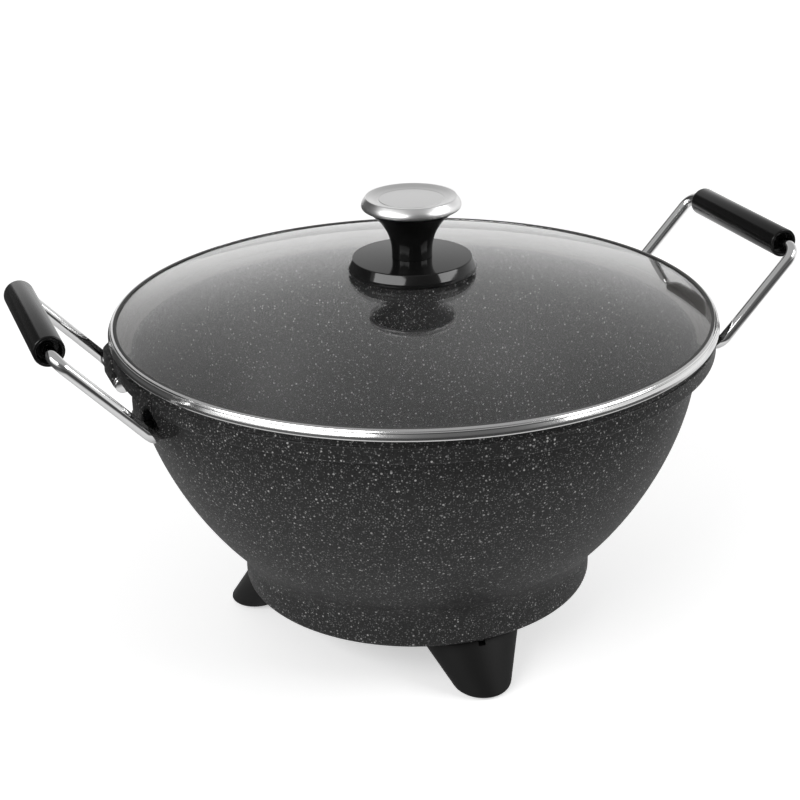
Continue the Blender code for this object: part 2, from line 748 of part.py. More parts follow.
def build_knob(lid):
    seat = glass_top(KNOB_BASE_FOOT_R) + GAP
    shank = KNOB_SCREW_R + GAP
    gasket_z = glass_top(GLASS_HOLE_R) + GAP
    recess_z = gasket_z + GASKET_T + GAP
    base_top = seat + KNOB_BASE_H
    recess_r = UPPER_GASKET_R + GAP
    base = [
        (shank, base_top + KNOB_BASE_CROWN),
        (KNOB_BASE_TOP_R, base_top),
        (KNOB_BASE_R - KNOB_BASE_EDGE_INSET, seat + KNOB_BASE_EDGE_H),
        (KNOB_BASE_R, seat + KNOB_BASE_LIP_H),
        (KNOB_BASE_FOOT_R, seat),
        (recess_r, glass_top(recess_r) + GAP),
        (recess_r, recess_z),
        (shank, recess_z),
    ]
    turned("knob_base", base, KNOB_STEPS, "gloss_black", lid, closed=True)
    turned(
        "knob_upper_gasket", washer_profile(shank, UPPER_GASKET_R, gasket_z, GASKET_T),
        KNOB_STEPS, "silicone", lid, closed=True,
    )
    body_z = base_top + KNOB_BASE_CROWN + GAP
    blind_z = body_z + KNOB_SCREW_GRIP_SHARE * KNOB_BODY_H
    body = [(0.0, body_z + KNOB_BODY_H)]
    body += [(r * KNOB_R, body_z + h * KNOB_BODY_H) for r, h in KNOB_BODY_SHARES]
    body += [(shank, body_z), (shank, blind_z), (0.0, blind_z)]
    turned("knob_body", body, KNOB_STEPS, "gloss_black", lid)
    cap_z = body_z + KNOB_BODY_H - CAP_LIP
    cap_top = CAP_OUTER_SHARES[0][1] * CAP_H
    cap_in = KNOB_R + GAP
    cap = [(0.0, cap_z + cap_top + CAP_CROWN)]
    cap += [(r * CAP_R, cap_z + h * CAP_H) for r, h in CAP_OUTER_SHARES]
    cap += [
        (cap_in, cap_z),
        (cap_in, cap_z + CAP_LIP + GAP),
        (CAP_OUTER_SHARES[0][0] * CAP_R, cap_z + cap_top - CAP_T),
        (0.0, cap_z + cap_top - CAP_T),
    ]
    turned("knob_cap", cap, KNOB_STEPS, "satin_steel", lid)
    under = glass_top(GLASS_HOLE_R) - GLASS_T - GAP
    lower_z = under - GASKET_T
    turned(
        "knob_lower_gasket", washer_profile(shank, LOWER_GASKET_R, lower_z, GASKET_T),
        KNOB_STEPS, "silicone", lid, closed=True,
    )
    washer_z = lower_z - GAP - WASHER_T
    turned(
        "knob_washer", washer_profile(shank, WASHER_R, washer_z, WASHER_T),
        KNOB_STEPS, "nickel", lid, closed=True,
    )
    head_z = washer_z - GAP
    length = blind_z - GAP - head_z
    profile = screw_profile(KNOB_SCREW_HEAD_R, KNOB_SCREW_HEAD_H, KNOB_SCREW_R, length)
    screw = turned("knob_screw", profile, MEDIUM_STEPS, "nickel", lid)
    screw.rotation_euler.x = math.pi
    screw.location.z = head_z


def washer_profile(inner, outer, low, thickness):
    high = low + thickness
    return [(inner, high), (outer, high), (outer, low), (inner, low)]


# The base: legs, cover and reflector

def leg_mesh():
    """A tapered leg that leans out, with a rounded foot, at +X from the pan's axis."""
    height = LEG_TOP_Z - PAD_PROUD
    mesh = bpy.data.meshes.new("leg")
    shape = bmesh.new()
    bmesh.ops.create_cone(
        shape, cap_ends=True, segments=LEG_STEPS, radius1=FOOT_R, radius2=FOOT_R, depth=height
    )
    for vert in shape.verts:
        if vert.co.z > 0:
            vert.co.x = LEG_TOP_X + vert.co.x / FOOT_R * LEG_TOP_HALF_X
            vert.co.y = vert.co.y / FOOT_R * LEG_TOP_HALF_Y
            vert.co.z = LEG_TOP_Z
        else:
            vert.co.x += FOOT_CIRCLE_R
            vert.co.z = PAD_PROUD
    low_edges = [
        edge for edge in shape.edges if all(vert.co.z < LEG_TOP_Z / 2 for vert in edge.verts)
    ]
    bmesh.ops.bevel(
        shape, geom=low_edges, offset=FOOT_ROUND, segments=2, profile=0.5, affect="EDGES"
    )
    bmesh.ops.recalc_face_normals(shape, faces=shape.faces)
    shape.to_mesh(mesh)
    shape.free()
    return mesh


def build_leg(name, angle):
    frame = add_frame(f"leg_{name}_place", (0.0, 0.0, 0.0), angle)
    leg = add_piece(f"leg_{name}", leg_mesh(), "black_plastic", frame)
    smooth(leg)
    recess_top = PAD_T + GAP
    recess = hole_cutter(
        f"pad_recess_{name}", PAD_R + GAP, on_circle(FOOT_CIRCLE_R, angle), -CUT_OVERRUN, recess_top,
        MEDIUM_STEPS,
    )
    recess.rotation_euler.z = angle
    boolean(leg, recess, "DIFFERENCE")
    pilot = hole_cutter(
        f"leg_pilot_{name}", SCREW_R + GAP, on_circle(LEG_SCREW_X, angle),
        LEG_TOP_Z - LEG_SCREW_DEPTH, LEG_TOP_Z + CUT_OVERRUN,
    )
    pilot.rotation_euler.z = angle
    boolean(leg, pilot, "DIFFERENCE")
    outside = SKIRT_R
    notch_in = SKIRT_R - SKIRT_ROUND - NOTCH_DEPTH
    notch = add_helper(
        f"leg_notch_{name}",
        box_mesh(
            "leg_notch",
            (notch_in, -NOTCH_WIDTH / 2, LEG_TOP_Z - NOTCH_H),
            (outside, NOTCH_WIDTH / 2, LEG_TOP_Z + CUT_OVERRUN),
        ),
    )
    notch.rotation_euler.z = angle
    boolean(leg, notch, "DIFFERENCE")
    pad = [
        (0.0, PAD_T),
        (PAD_R, PAD_T),
        (PAD_R, PAD_ROUND),
        (PAD_R - PAD_ROUND, 0.0),
        (0.0, 0.0),
    ]
    turned(f"foot_pad_{name}", pad, MEDIUM_STEPS, "rubber", frame).location.x = FOOT_CIRCLE_R
    shank = LEG_SCREW_DEPTH + COVER_T + GAP
    screw = turned(
        f"leg_screw_{name}", screw_profile(SCREW_HEAD_R, SCREW_HEAD_H, SCREW_R, shank),
        SMALL_STEPS, "nickel", frame,
    )
    screw.location = (LEG_SCREW_X, 0.0, COVER_TOP + GAP)


def build_cover():
    """The plate that closes the skirt, with a rib that carries the reflector."""
    edge = CAVITY_R - GAP
    rib_top = COVER_TOP + RIB_H
    profile = [
        (0.0, COVER_TOP),
        (RIB_R - RIB_T, COVER_TOP),
        (RIB_R - RIB_T, rib_top),
        (RIB_R, rib_top),
        (RIB_R, COVER_TOP),
        (edge, COVER_TOP),
        (edge, SKIRT_Z),
        (0.0, SKIRT_Z),
    ]
    cover = turned("base_cover", profile, COVER_STEPS, "black_plastic")
    low, high = SKIRT_Z - CUT_OVERRUN, COVER_TOP + CUT_OVERRUN
    holes = [(f"cover_hole_{n}", on_circle(POST_CIRCLE_R, a)) for n, a in enumerate(POST_ANGLES)]
    holes += [(f"leg_hole_{n}", on_circle(LEG_SCREW_X, a)) for n, a in LEG_ANGLES.items()]
    for name, place in holes:
        boolean(cover, hole_cutter(name, SCREW_R + GAP, place, low, high), "DIFFERENCE")
    for side in (1, -1):
        place = (side * INLET_SCREW_X, INLET_BACK_Y - INLET_FLANGE_L + INLET_SCREW_INSET)
        hole = hole_cutter(f"flange_hole_{side}", INLET_SCREW_R + GAP, place, low, high)
        boolean(cover, hole, "DIFFERENCE")
    for number in range(VENT_COUNT):
        vent = add_helper(
            f"vent_{number}",
            box_mesh(
                "vent",
                (VENT_IN_R, -VENT_W / 2, low),
                (VENT_OUT_R, VENT_W / 2, high),
            ),
        )
        vent.rotation_euler.z = math.tau * number / VENT_COUNT
        boolean(cover, vent, "DIFFERENCE")
    for number, angle in enumerate(POST_ANGLES, 1):
        shank = COVER_T + GAP + COVER_SCREW_DEPTH
        screw = turned(
            f"cover_screw_{number}", screw_profile(SCREW_HEAD_R, SCREW_HEAD_H, SCREW_R, shank),
            SMALL_STEPS, "nickel",
        )
        screw.rotation_euler.x = math.pi
        screw.location = on_circle(POST_CIRCLE_R, angle, SKIRT_Z - GAP)


def build_reflector():
    profile = cylinder_profile(REFLECTOR_R, REFLECTOR_Z, REFLECTOR_Z + REFLECTOR_T)
    reflector = turned("heat_reflector", profile, COVER_STEPS, "polished_steel")
    low, high = REFLECTOR_Z - CUT_OVERRUN, REFLECTOR_Z + CUT_OVERRUN
    for number, angle in enumerate(POST_ANGLES, 1):
        place = on_circle(POST_CIRCLE_R, angle)
        hole = hole_cutter(f"reflector_hole_{number}", POST_R + GAP, place, low, high)
        boolean(reflector, hole, "DIFFERENCE")


# The heater, its contacts and the inlet

def element_points():
    """The heater tube from one contact, round its ring and back to the other."""
    joint = math.acos(CONTACT_X / ELEMENT_CIRCLE_R) - ELEMENT_JOIN_ANGLE
    tip = Vector((CONTACT_X, CONTACT_Y - GAP, CONTACT_Z))
    start = tip - Vector((0.0, ELEMENT_LEAD, 0.0))
    ring_point = Vector(on_circle(ELEMENT_CIRCLE_R, joint, ELEMENT_Z))
    tangent = Vector((math.sin(joint), -math.cos(joint), 0.0))
    reach = (start - ring_point).length / 2
    lead = start - Vector((0.0, reach, 0.0))
    controls = (start, lead, ring_point - tangent * reach, ring_point)
    join = [tuple(tip), *bezier_run(controls, ELEMENT_JOIN_STEPS)]
    sweep = math.tau - 2 * (math.pi / 2 - joint)
    ring = [
        on_circle(ELEMENT_CIRCLE_R, joint - sweep * step / ELEMENT_STEPS, ELEMENT_Z)
        for step in range(1, ELEMENT_STEPS)
    ]
    mirrored = [(-x, y, z) for x, y, z in reversed(join)]
    return join + ring + mirrored


def along_y(obj, place):
    """Lay a turned piece along Y, its start at a place and its end towards the back."""
    obj.rotation_euler.x = -math.pi / 2
    obj.location = place


def build_heater():
    curve = wire_curve("heating_element", element_points(), ELEMENT_R, ELEMENT_SIDES)
    add_piece("heating_element", curve, "element_steel")
    pin = [
        (0.0, PIN_L),
        (PIN_R - PIN_ROUND, PIN_L),
        (PIN_R, PIN_L - PIN_ROUND),
        (PIN_R, 0.0),
        (0.0, 0.0),
    ]
    for name, side in (("left", -1), ("right", 1)):
        contact = turned(f"terminal_pin_{name}", pin, SMALL_STEPS, "nickel")
        along_y(contact, (side * CONTACT_X, CONTACT_Y, CONTACT_Z))
    bore = SLEEVE_R - SLEEVE_WALL
    sleeve = [
        (0.0, SLEEVE_WALL),
        (bore, SLEEVE_WALL),
        (bore, SLEEVE_L),
        (SLEEVE_R, SLEEVE_L),
        (SLEEVE_R, 0.0),
        (0.0, 0.0),
    ]
    along_y(
        turned("probe_sleeve", sleeve, SMALL_STEPS, "nickel"), (0.0, SLEEVE_Y, CONTACT_Z)
    )


def build_inlet():
    """The socket housing that the thermostat plug goes into, screwed to the cover."""
    half = INLET_WIDTH / 2
    top = INLET_Z + INLET_H
    housing = add_piece(
        "inlet_housing",
        box_mesh("inlet_housing", (-half, INLET_BACK_Y, INLET_Z), (half, INLET_FRONT_Y, top)),
        "black_plastic",
    )
    rounding = housing.modifiers.new("rounding", "BEVEL")
    rounding.width = INLET_ROUND
    rounding.segments = 1
    flange_back = INLET_BACK_Y - INLET_FLANGE_L
    flange = add_helper(
        "inlet_flange",
        box_mesh(
            "inlet_flange",
            (INLET_ROUND - half, flange_back, INLET_Z),
            (half - INLET_ROUND, INLET_BACK_Y + INLET_BACK_T / 2, INLET_Z + INLET_WALL),
        ),
    )
    boolean(housing, flange, "UNION")
    socket = add_helper(
        "inlet_socket",
        box_mesh(
            "inlet_socket",
            (INLET_WALL - half, INLET_BACK_Y + INLET_BACK_T, INLET_Z + INLET_WALL),
            (half - INLET_WALL, INLET_FRONT_Y + CUT_OVERRUN, top - INLET_WALL),
        ),
    )
    boolean(housing, socket, "DIFFERENCE")
    low, high = -CUT_OVERRUN, INLET_BACK_T + CUT_OVERRUN
    for name, radius, across in (
        ("pin_hole_left", PIN_R, -CONTACT_X),
        ("pin_hole_right", PIN_R, CONTACT_X),
        ("sleeve_hole", SLEEVE_R, 0.0),
    ):
        hole = turned_helper(name, cylinder_profile(radius + GAP, low, high), SMALL_STEPS)
        along_y(hole, (across, INLET_BACK_Y, CONTACT_Z))
        boolean(housing, hole, "DIFFERENCE")
    screw_y = flange_back + INLET_SCREW_INSET
    seat = INLET_Z + INLET_WALL
    for name, side in (("left", -1), ("right", 1)):
        place = (side * INLET_SCREW_X, screw_y)
        hole = hole_cutter(
            f"inlet_screw_hole_{name}", INLET_SCREW_R + GAP, place,
            INLET_Z - CUT_OVERRUN, seat + CUT_OVERRUN,
        )
        boolean(housing, hole, "DIFFERENCE")
        shank = INLET_WALL + GAP + COVER_T
        profile = screw_profile(INLET_SCREW_HEAD_R, INLET_SCREW_HEAD_H, INLET_SCREW_R, shank)
        screw = turned(f"inlet_screw_{name}", profile, SMALL_STEPS, "nickel")
        screw.location = (*place, seat + GAP)
    clip_z = top - INLET_WALL - GAP
    clip_y = INLET_BACK_Y + INLET_BACK_T + GAP
    add_piece(
        "earth_clip",
        box_mesh(
            "earth_clip",
            (-EARTH_WIDTH / 2, clip_y, clip_z - EARTH_T),
            (EARTH_WIDTH / 2, clip_y + EARTH_L, clip_z),
        ),
        "nickel",
    )


clear_scene()
PARTS = new_collection("electric_wok")
HELPERS = new_collection("electric_wok_helpers")
build_pan()
build_handle("right", 1)
build_handle("left", -1)
build_lid()
for leg_name, leg_angle in LEG_ANGLES.items():
    build_leg(leg_name, leg_angle)
build_cover()
build_reflector()
build_heater()
build_inlet()
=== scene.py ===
"""The looks of an electric wok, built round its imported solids.

Metres, +Z up, in the part's own frame. The origin is on the worktop under the pan's axis, +X runs
along the two handles and +Y points to the back, where the thermostat's socket is.
"""

import logging
import math
from abc import ABC, abstractmethod
from contextlib import contextmanager
from dataclasses import dataclass, field
from enum import Enum
from typing import Callable, ClassVar, Iterator, Mapping, Sequence

import bmesh
import bpy
from mathutils import Matrix, Vector


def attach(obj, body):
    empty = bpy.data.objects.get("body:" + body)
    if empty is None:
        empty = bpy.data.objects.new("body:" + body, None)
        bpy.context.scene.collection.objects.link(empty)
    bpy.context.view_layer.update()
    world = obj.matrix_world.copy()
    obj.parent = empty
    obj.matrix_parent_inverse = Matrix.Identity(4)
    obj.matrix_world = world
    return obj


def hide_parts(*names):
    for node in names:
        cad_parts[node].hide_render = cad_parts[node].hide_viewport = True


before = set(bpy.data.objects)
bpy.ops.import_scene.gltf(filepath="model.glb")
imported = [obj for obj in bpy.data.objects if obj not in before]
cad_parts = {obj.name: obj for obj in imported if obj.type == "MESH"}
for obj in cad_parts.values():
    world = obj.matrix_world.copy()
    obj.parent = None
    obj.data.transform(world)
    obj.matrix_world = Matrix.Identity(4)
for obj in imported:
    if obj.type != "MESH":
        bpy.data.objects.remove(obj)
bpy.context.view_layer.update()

LOG = logging.getLogger("wok")

# The clearance of pieces that fit in each other, and the angles at which the legs stand.
GAP = 0.0003
LEG_ANGLES = {"front": -90.0, "rear_right": 27.0, "rear_left": 153.0}

# The largest share of a side that the rounding of its corner takes.
ROUND_SHARE = 0.49

Point = tuple[float, float]
Place = tuple[float, float, float]
Color = tuple[float, float, float, float]
Value = "float | Sequence[float] | Signal"
Piece = bpy.types.Object


# Outlines

@dataclass(frozen=True)
class Corner:
    """A corner of a turned outline: its distance from the axis, its height and its rounding."""

    across: float
    up: float
    round: float = 0.0

    @property
    def point(self) -> Vector:
        """The corner as a flat vector."""
        return Vector((self.across, self.up))


def rounded(corners: Sequence[Corner], steps: int = 5) -> list[Point]:
    """Draw an outline through its corners, with each rounded corner as an arc.

    Args:
        corners: The corners in order, from one end of the outline to the other.
        steps: How many straight pieces stand for one arc.

    Returns:
        The points of the outline.
    """
    points: list[Point] = []
    for number, corner in enumerate(corners):
        here = corner.point
        if corner.round <= 0.0 or number in (0, len(corners) - 1):
            points.append(tuple(here))
            continue
        back = corners[number - 1].point - here
        ahead = corners[number + 1].point - here
        half = back.angle(ahead) / 2
        room = ROUND_SHARE * min(back.length, ahead.length)
        reach = min(corner.round / math.tan(half), room)
        radius = reach * math.tan(half)
        inward = (back.normalized() + ahead.normalized()).normalized()
        middle = here + inward * radius / math.sin(half)
        start = here + back.normalized() * reach - middle
        sweep = start.angle_signed(here + ahead.normalized() * reach - middle)
        for step in range(steps + 1):
            turn = -sweep * step / steps
            arm = Matrix.Rotation(turn, 2) @ start
            points.append(tuple(middle + arm))
    return points


def bezier(controls: Sequence[Point], steps: int, last: float = 1.0) -> list[Point]:
    """Points along a Bezier curve.

    Args:
        controls: The curve's control points.
        steps: How many straight pieces stand for the curve.
        last: How far along the curve to go, as a share of it.

    Returns:
        The points, the first and the last included.
    """
    run = []
    for step in range(steps + 1):
        share = last * step / steps
        row = [Vector(control) for control in controls]
        while len(row) > 1:
            row = [a.lerp(b, share) for a, b in zip(row, row[1:])]
        run.append(tuple(row[0]))
    return run


def flowing(points: Sequence[Point], steps: int = 4) -> list[Point]:
    """A smooth line through every given point, as a draughtsman's spline.

    Args:
        points: The points that the line passes through.
        steps: How many straight pieces lie between two of them.

    Returns:
        The points of the smooth line.
    """
    ends = [points[0], *points, points[-1]]
    run = []
    for first, start, end, last in zip(ends, ends[1:], ends[2:], ends[3:]):
        a, b, c, d = (Vector(point) for point in (first, start, end, last))
        for step in range(steps):
            t = step / steps
            point = 0.5 * (
                2 * b + (c - a) * t + (2 * a - 5 * b + 4 * c - d) * t * t
                + (3 * b - a - 3 * c + d) * t * t * t
            )
            run.append(tuple(point))
    return [*run, tuple(points[-1])]


# The workbench

class Cut(Enum):
    """What a second solid does to a piece."""

    JOIN = "UNION"
    AWAY = "DIFFERENCE"


class Element(Enum):
    """What is picked in a mesh."""

    VERT = "VERT"
    EDGE = "EDGE"
    FACE = "FACE"


class Side(Enum):
    """The two sides that carry a handle, with the sign of X there."""

    RIGHT = 1
    LEFT = -1

    @property
    def label(self) -> str:
        """The side's name in the part's nodes."""
        return self.name.lower()


@dataclass(frozen=True)
class Bend:
    """A quarter turn of a bent bar."""

    center: Vector
    axis: Vector
    steps: int = 8


class Bench:
    """The modelling tools, used as by hand on one piece at a time."""

    SEED_SIZE: ClassVar[float] = 0.001
    MERGE: ClassVar[float] = 0.000004
    NEAR: ClassVar[float] = 0.001
    FACING: ClassVar[float] = 0.9
    LEVEL: ClassVar[float] = 0.1
    FLAT_ANGLE: ClassVar[float] = 0.05
    BAR_SIDES: ClassVar[int] = 28
    BEVEL_STEPS: ClassVar[int] = 2
    SMOOTH_ANGLE: ClassVar[float] = math.radians(32)

    def put_down(self) -> None:
        """Deselect every object."""
        bpy.ops.object.select_all(action="DESELECT")

    def take(self, piece: Piece) -> None:
        """Select one object alone and make it the active one.

        Args:
            piece: The object to select.
        """
        self.put_down()
        piece.select_set(True)
        bpy.context.view_layer.objects.active = piece

    @contextmanager
    def editing(self, piece: Piece) -> Iterator[None]:
        """Hold a piece in edit mode.

        Args:
            piece: The object whose mesh is shaped.

        Returns:
            A context in which the piece is in edit mode.
        """
        self.take(piece)
        bpy.ops.object.mode_set(mode="EDIT")
        yield
        bpy.ops.object.mode_set(mode="OBJECT")

    def pick(self, piece: Piece, test: Callable[[Vector, Vector], bool], kind: Element) -> None:
        """Select the parts of a mesh in edit mode by where they are and where they face.

        Args:
            piece: The object in edit mode.
            test: Says yes or no for a middle point and a normal (zero for an edge).
            kind: Whether vertices, edges or faces are picked.
        """
        bpy.ops.mesh.select_mode(type=kind.value)
        bpy.ops.mesh.select_all(action="DESELECT")
        shape = bmesh.from_edit_mesh(piece.data)
        if kind is Element.VERT:
            for vert in shape.verts:
                vert.select = test(vert.co, vert.normal)
        elif kind is Element.EDGE:
            for edge in shape.edges:
                middle = (edge.verts[0].co + edge.verts[1].co) / 2
                along = (edge.verts[1].co - edge.verts[0].co).normalized()
                edge.select = test(middle, along)
        else:
            for face in shape.faces:
                face.select = test(face.calc_center_median(), face.normal)
        shape.select_flush_mode()
        bmesh.update_edit_mesh(piece.data)

    def named(self, name: str) -> Piece:
        """Name the object just made and settle its place in its mesh.

        Args:
            name: The piece's name.

        Returns:
            The active object.
        """
        piece = bpy.context.object
        piece.name = name
        piece.data.name = name
        bpy.ops.object.transform_apply(location=True, rotation=True, scale=True)
        return piece

    def line(self, name: str, outline: Sequence[Point]) -> Piece:
        """Draw an outline in the XZ plane, from one vertex on.

        Args:
            name: The piece's name.
            outline: The outline's points, across and up.

        Returns:
            The object that holds the line.
        """
        self.put_down()
        start = outline[0]
        bpy.ops.mesh.primitive_plane_add(size=self.SEED_SIZE, location=(start[0], 0.0, start[1]))
        piece = self.named(name)
        with self.editing(piece):
            bpy.ops.mesh.select_mode(type=Element.VERT.value)
            bpy.ops.mesh.select_all(action="SELECT")
            bpy.ops.mesh.merge(type="CENTER")
            for here, there in zip(outline, outline[1:]):
                step = (there[0] - here[0], 0.0, there[1] - here[1])
                bpy.ops.mesh.extrude_vertices_move(TRANSFORM_OT_translate={"value": step})
        return piece

    def turned(
        self, name: str, outline: Sequence[Point], steps: int, closed: bool = False
    ) -> Piece:
        """Turn an outline round the Z axis into a closed solid.

        Args:
            name: The piece's name.
            outline: The outline from the axis round to the axis, or a whole ring section.
            steps: How many steps make a full turn.
            closed: True joins the outline's end to its start, for a ring.

        Returns:
            The turned object.
        """
        points = [*outline, outline[0]] if closed else list(outline)
        piece = self.line(name, points)
        with self.editing(piece):
            bpy.ops.mesh.select_all(action="SELECT")
            bpy.ops.mesh.spin(steps=steps, angle=math.tau, center=(0, 0, 0), axis=(0, 0, 1))
            self.tidy()
        return self.smoothed(piece)

    def peg(self, name: str, radius: float, low_z: float, high_z: float, steps: int) -> Piece:
        """Turn a plain round peg on the Z axis.

        Args:
            name: The piece's name.
            radius: The peg's radius.
            low_z: Where it starts.
            high_z: Where it ends.
            steps: How many sides it has.

        Returns:
            The peg.
        """
        outline = [(0.0, low_z), (radius, low_z), (radius, high_z), (0.0, high_z)]
        return self.turned(name, outline, steps)

    def prism(self, name: str, outline: Sequence[Point], low_y: float, high_y: float) -> Piece:
        """Give a closed outline of the XZ plane a thickness along Y.

        Args:
            name: The piece's name.
            outline: The outline's corners in order.
            low_y: Where the solid starts along Y.
            high_y: Where it ends.

        Returns:
            The solid object.
        """
        piece = self.line(name, outline)
        with self.editing(piece):
            bpy.ops.mesh.select_all(action="SELECT")
            bpy.ops.transform.translate(value=(0.0, low_y, 0.0))
            bpy.ops.mesh.edge_face_add()
            bpy.ops.mesh.extrude_region_move(
                TRANSFORM_OT_translate={"value": (0.0, high_y - low_y, 0.0)}
            )
            self.tidy()
        return piece

    def block(self, name: str, low: Place, high: Place, bevel: float = 0.0) -> Piece:
        """A square block between two corners, with its edges broken.

        Args:
            name: The piece's name.
            low: The lowest corner.
            high: The highest corner.
            bevel: How wide the broken edges are.

        Returns:
            The block.
        """
        self.put_down()
        middle = (Vector(low) + Vector(high)) / 2
        bpy.ops.mesh.primitive_cube_add(size=1.0, location=middle, scale=Vector(high) - Vector(low))
        piece = self.named(name)
        if bevel:
            with self.editing(piece):
                bpy.ops.mesh.select_all(action="SELECT")
                bpy.ops.mesh.bevel(offset=bevel, segments=self.BEVEL_STEPS, affect="EDGES")
        return piece

    def bent_bar(
        self, name: str, radius: float, start: Place, moves: Sequence[Vector | Bend]
    ) -> Piece:
        """Push a round ring along a path of straight runs and quarter bends, and close its ends.

        Args:
            name: The piece's name.
            radius: The bar's radius.
            start: Where the bar starts, facing along Y.
            moves: The straight runs and the quarter bends in order.

        Returns:
            The bar.
        """
        self.put_down()
        bpy.ops.mesh.primitive_circle_add(
            vertices=self.BAR_SIDES, radius=radius, fill_type="NGON", location=start,
            rotation=(math.pi / 2, 0.0, 0.0),
        )
        piece = self.named(name)
        with self.editing(piece):
            bpy.ops.mesh.select_all(action="SELECT")
            for move in moves:
                if isinstance(move, Bend):
                    bpy.ops.mesh.spin(
                        steps=move.steps, angle=math.pi / 2, center=move.center, axis=move.axis
                    )
                else:
                    bpy.ops.mesh.extrude_region_move(TRANSFORM_OT_translate={"value": move})
            self.tidy()
        return self.smoothed(piece)

    def tidy(self) -> None:
        """Merge doubles and turn every face outwards, in edit mode."""
        bpy.ops.mesh.select_all(action="SELECT")
        bpy.ops.mesh.remove_doubles(threshold=self.MERGE)
        bpy.ops.mesh.normals_make_consistent(inside=False)

    def smoothed(self, piece: Piece, angle: float | None = None) -> Piece:
        """Shade a piece smooth between its real edges.

        Args:
            piece: The object to shade.
            angle: The angle at which an edge stays sharp, or the bench's own.

        Returns:
            The same object.
        """
        self.take(piece)
        bpy.ops.object.shade_smooth_by_angle(angle=angle or self.SMOOTH_ANGLE)
        return piece

    def rounded_off(self, piece: Piece, width: float) -> Piece:
        """Round a piece's sharp edges with a bevel that is applied.

        Args:
            piece: The object to round.
            width: The bevel's width.

        Returns:
            The same object.
        """
        self.take(piece)
        bpy.ops.object.modifier_add(type="BEVEL")
        bevel = piece.modifiers[-1]
        bevel.width = width
        bevel.segments = self.BEVEL_STEPS
        bevel.limit_method = "ANGLE"
        bevel.angle_limit = self.SMOOTH_ANGLE
        bpy.ops.object.modifier_apply(modifier=bevel.name)
        return self.smoothed(piece)

    def worked(self, piece: Piece, tool: Piece, cut: Cut) -> Piece:
        """Join a second solid to a piece, or cut its shape away, and throw the second one out.

        Args:
            piece: The piece that stays.
            tool: The solid that is used up.
            cut: Whether it joins or cuts.

        Returns:
            The piece.
        """
        self.take(piece)
        bpy.ops.object.modifier_add(type="BOOLEAN")
        step = piece.modifiers[-1]
        step.operation = cut.value
        step.solver = "EXACT"
        step.object = tool
        bpy.ops.object.modifier_apply(modifier=step.name)
        self.drop(tool)
        return piece

    def drop(self, *pieces: Piece) -> None:
        """Throw out pieces that are used up."""
        for piece in pieces:
            bpy.data.objects.remove(piece, do_unlink=True)

    def moved(self, piece: Piece, matrix: Matrix) -> Piece:
        """Carry a piece to its place and settle that in its mesh.

        Args:
            piece: The object to move.
            matrix: Where it goes.

        Returns:
            The same object.
        """
        self.take(piece)
        piece.matrix_world = matrix @ piece.matrix_world
        bpy.ops.object.transform_apply(location=True, rotation=True, scale=True)
        return piece

    def mirrored(self, piece: Piece, side: Side, end: int) -> Piece:
        """Carry a piece of the right rear quarter to the same place in another quarter.

        Args:
            piece: The piece, at positive X and Y.
            side: The side that it goes to.
            end: The sign of Y there.

        Returns:
            The same object.
        """
        self.moved(piece, Matrix.Diagonal((side.value, end, 1.0, 1.0)))
        if side.value * end < 0:
            with self.editing(piece):
                bpy.ops.mesh.select_all(action="SELECT")
                bpy.ops.mesh.flip_normals()
        return piece

    def copied(self, piece: Piece, name: str, matrix: Matrix) -> Piece:
        """Copy a piece with a mesh of its own and carry the copy to its place.

        Args:
            piece: The object to copy.
            name: The copy's name.
            matrix: Where the copy goes from where the first one is.

        Returns:
            The copy.
        """
        self.take(piece)
        bpy.ops.object.duplicate(linked=False)
        copy = bpy.context.object
        copy.name = name
        copy.data.name = name
        return self.moved(copy, matrix)


BENCH = Bench()


def about_z(angle: float) -> Matrix:
    """A turn round the pan's axis, in degrees."""
    return Matrix.Rotation(math.radians(angle), 4, "Z")


def level_way(azimuth: float) -> Vector:
    """The level direction at an azimuth in degrees."""
    return about_z(azimuth) @ Vector((1.0, 0.0, 0.0))


# Materials

class Signal:
    """One output socket of a node tree, which takes part in ordinary arithmetic."""

    def __init__(self, sheet: "Sheet", socket: bpy.types.NodeSocket) -> None:
        """Wrap a socket of a sheet."""
        self.sheet = sheet
        self.socket = socket

    def _worked(self, operation: str, first: Value, second: Value = 0.0) -> "Signal":
        """Add one Math node for two terms."""
        return self.sheet.add("ShaderNodeMath", {"operation": operation}, {0: first, 1: second})

    def __add__(self, other: Value) -> "Signal":
        """Self plus other."""
        return self._worked("ADD", self, other)

    def __radd__(self, other: Value) -> "Signal":
        """Other plus self."""
        return self._worked("ADD", other, self)

    def __sub__(self, other: Value) -> "Signal":
        """Self less other."""
        return self._worked("SUBTRACT", self, other)

    def __rsub__(self, other: Value) -> "Signal":
        """Other less self."""
        return self._worked("SUBTRACT", other, self)

    def __mul__(self, other: Value) -> "Signal":
        """Self times other."""
        return self._worked("MULTIPLY", self, other)

    def __truediv__(self, other: Value) -> "Signal":
        """Self over other."""
        return self._worked("DIVIDE", self, other)

    def __pow__(self, other: Value) -> "Signal":
        """Self to a power."""
        return self._worked("POWER", self, other)

    def __gt__(self, other: Value) -> "Signal":
        """One where self is greater, zero elsewhere."""
        return self._worked("GREATER_THAN", self, other)

    def clamped(self) -> "Signal":
        """Self held between zero and one."""
        return self.sheet.add("ShaderNodeClamp", {}, {"Value": self})

    def past(self, start: float, width: float) -> "Signal":
        """How far self is past a start, as a share of a width, held between zero and one."""
        return ((self - start) / width).clamped()


class Ray(Enum):
    """The kinds of ray that a finish tells apart."""

    CAMERA = "Is Camera Ray"
    GLOSSY = "Is Glossy Ray"
    SHADOW = "Is Shadow Ray"


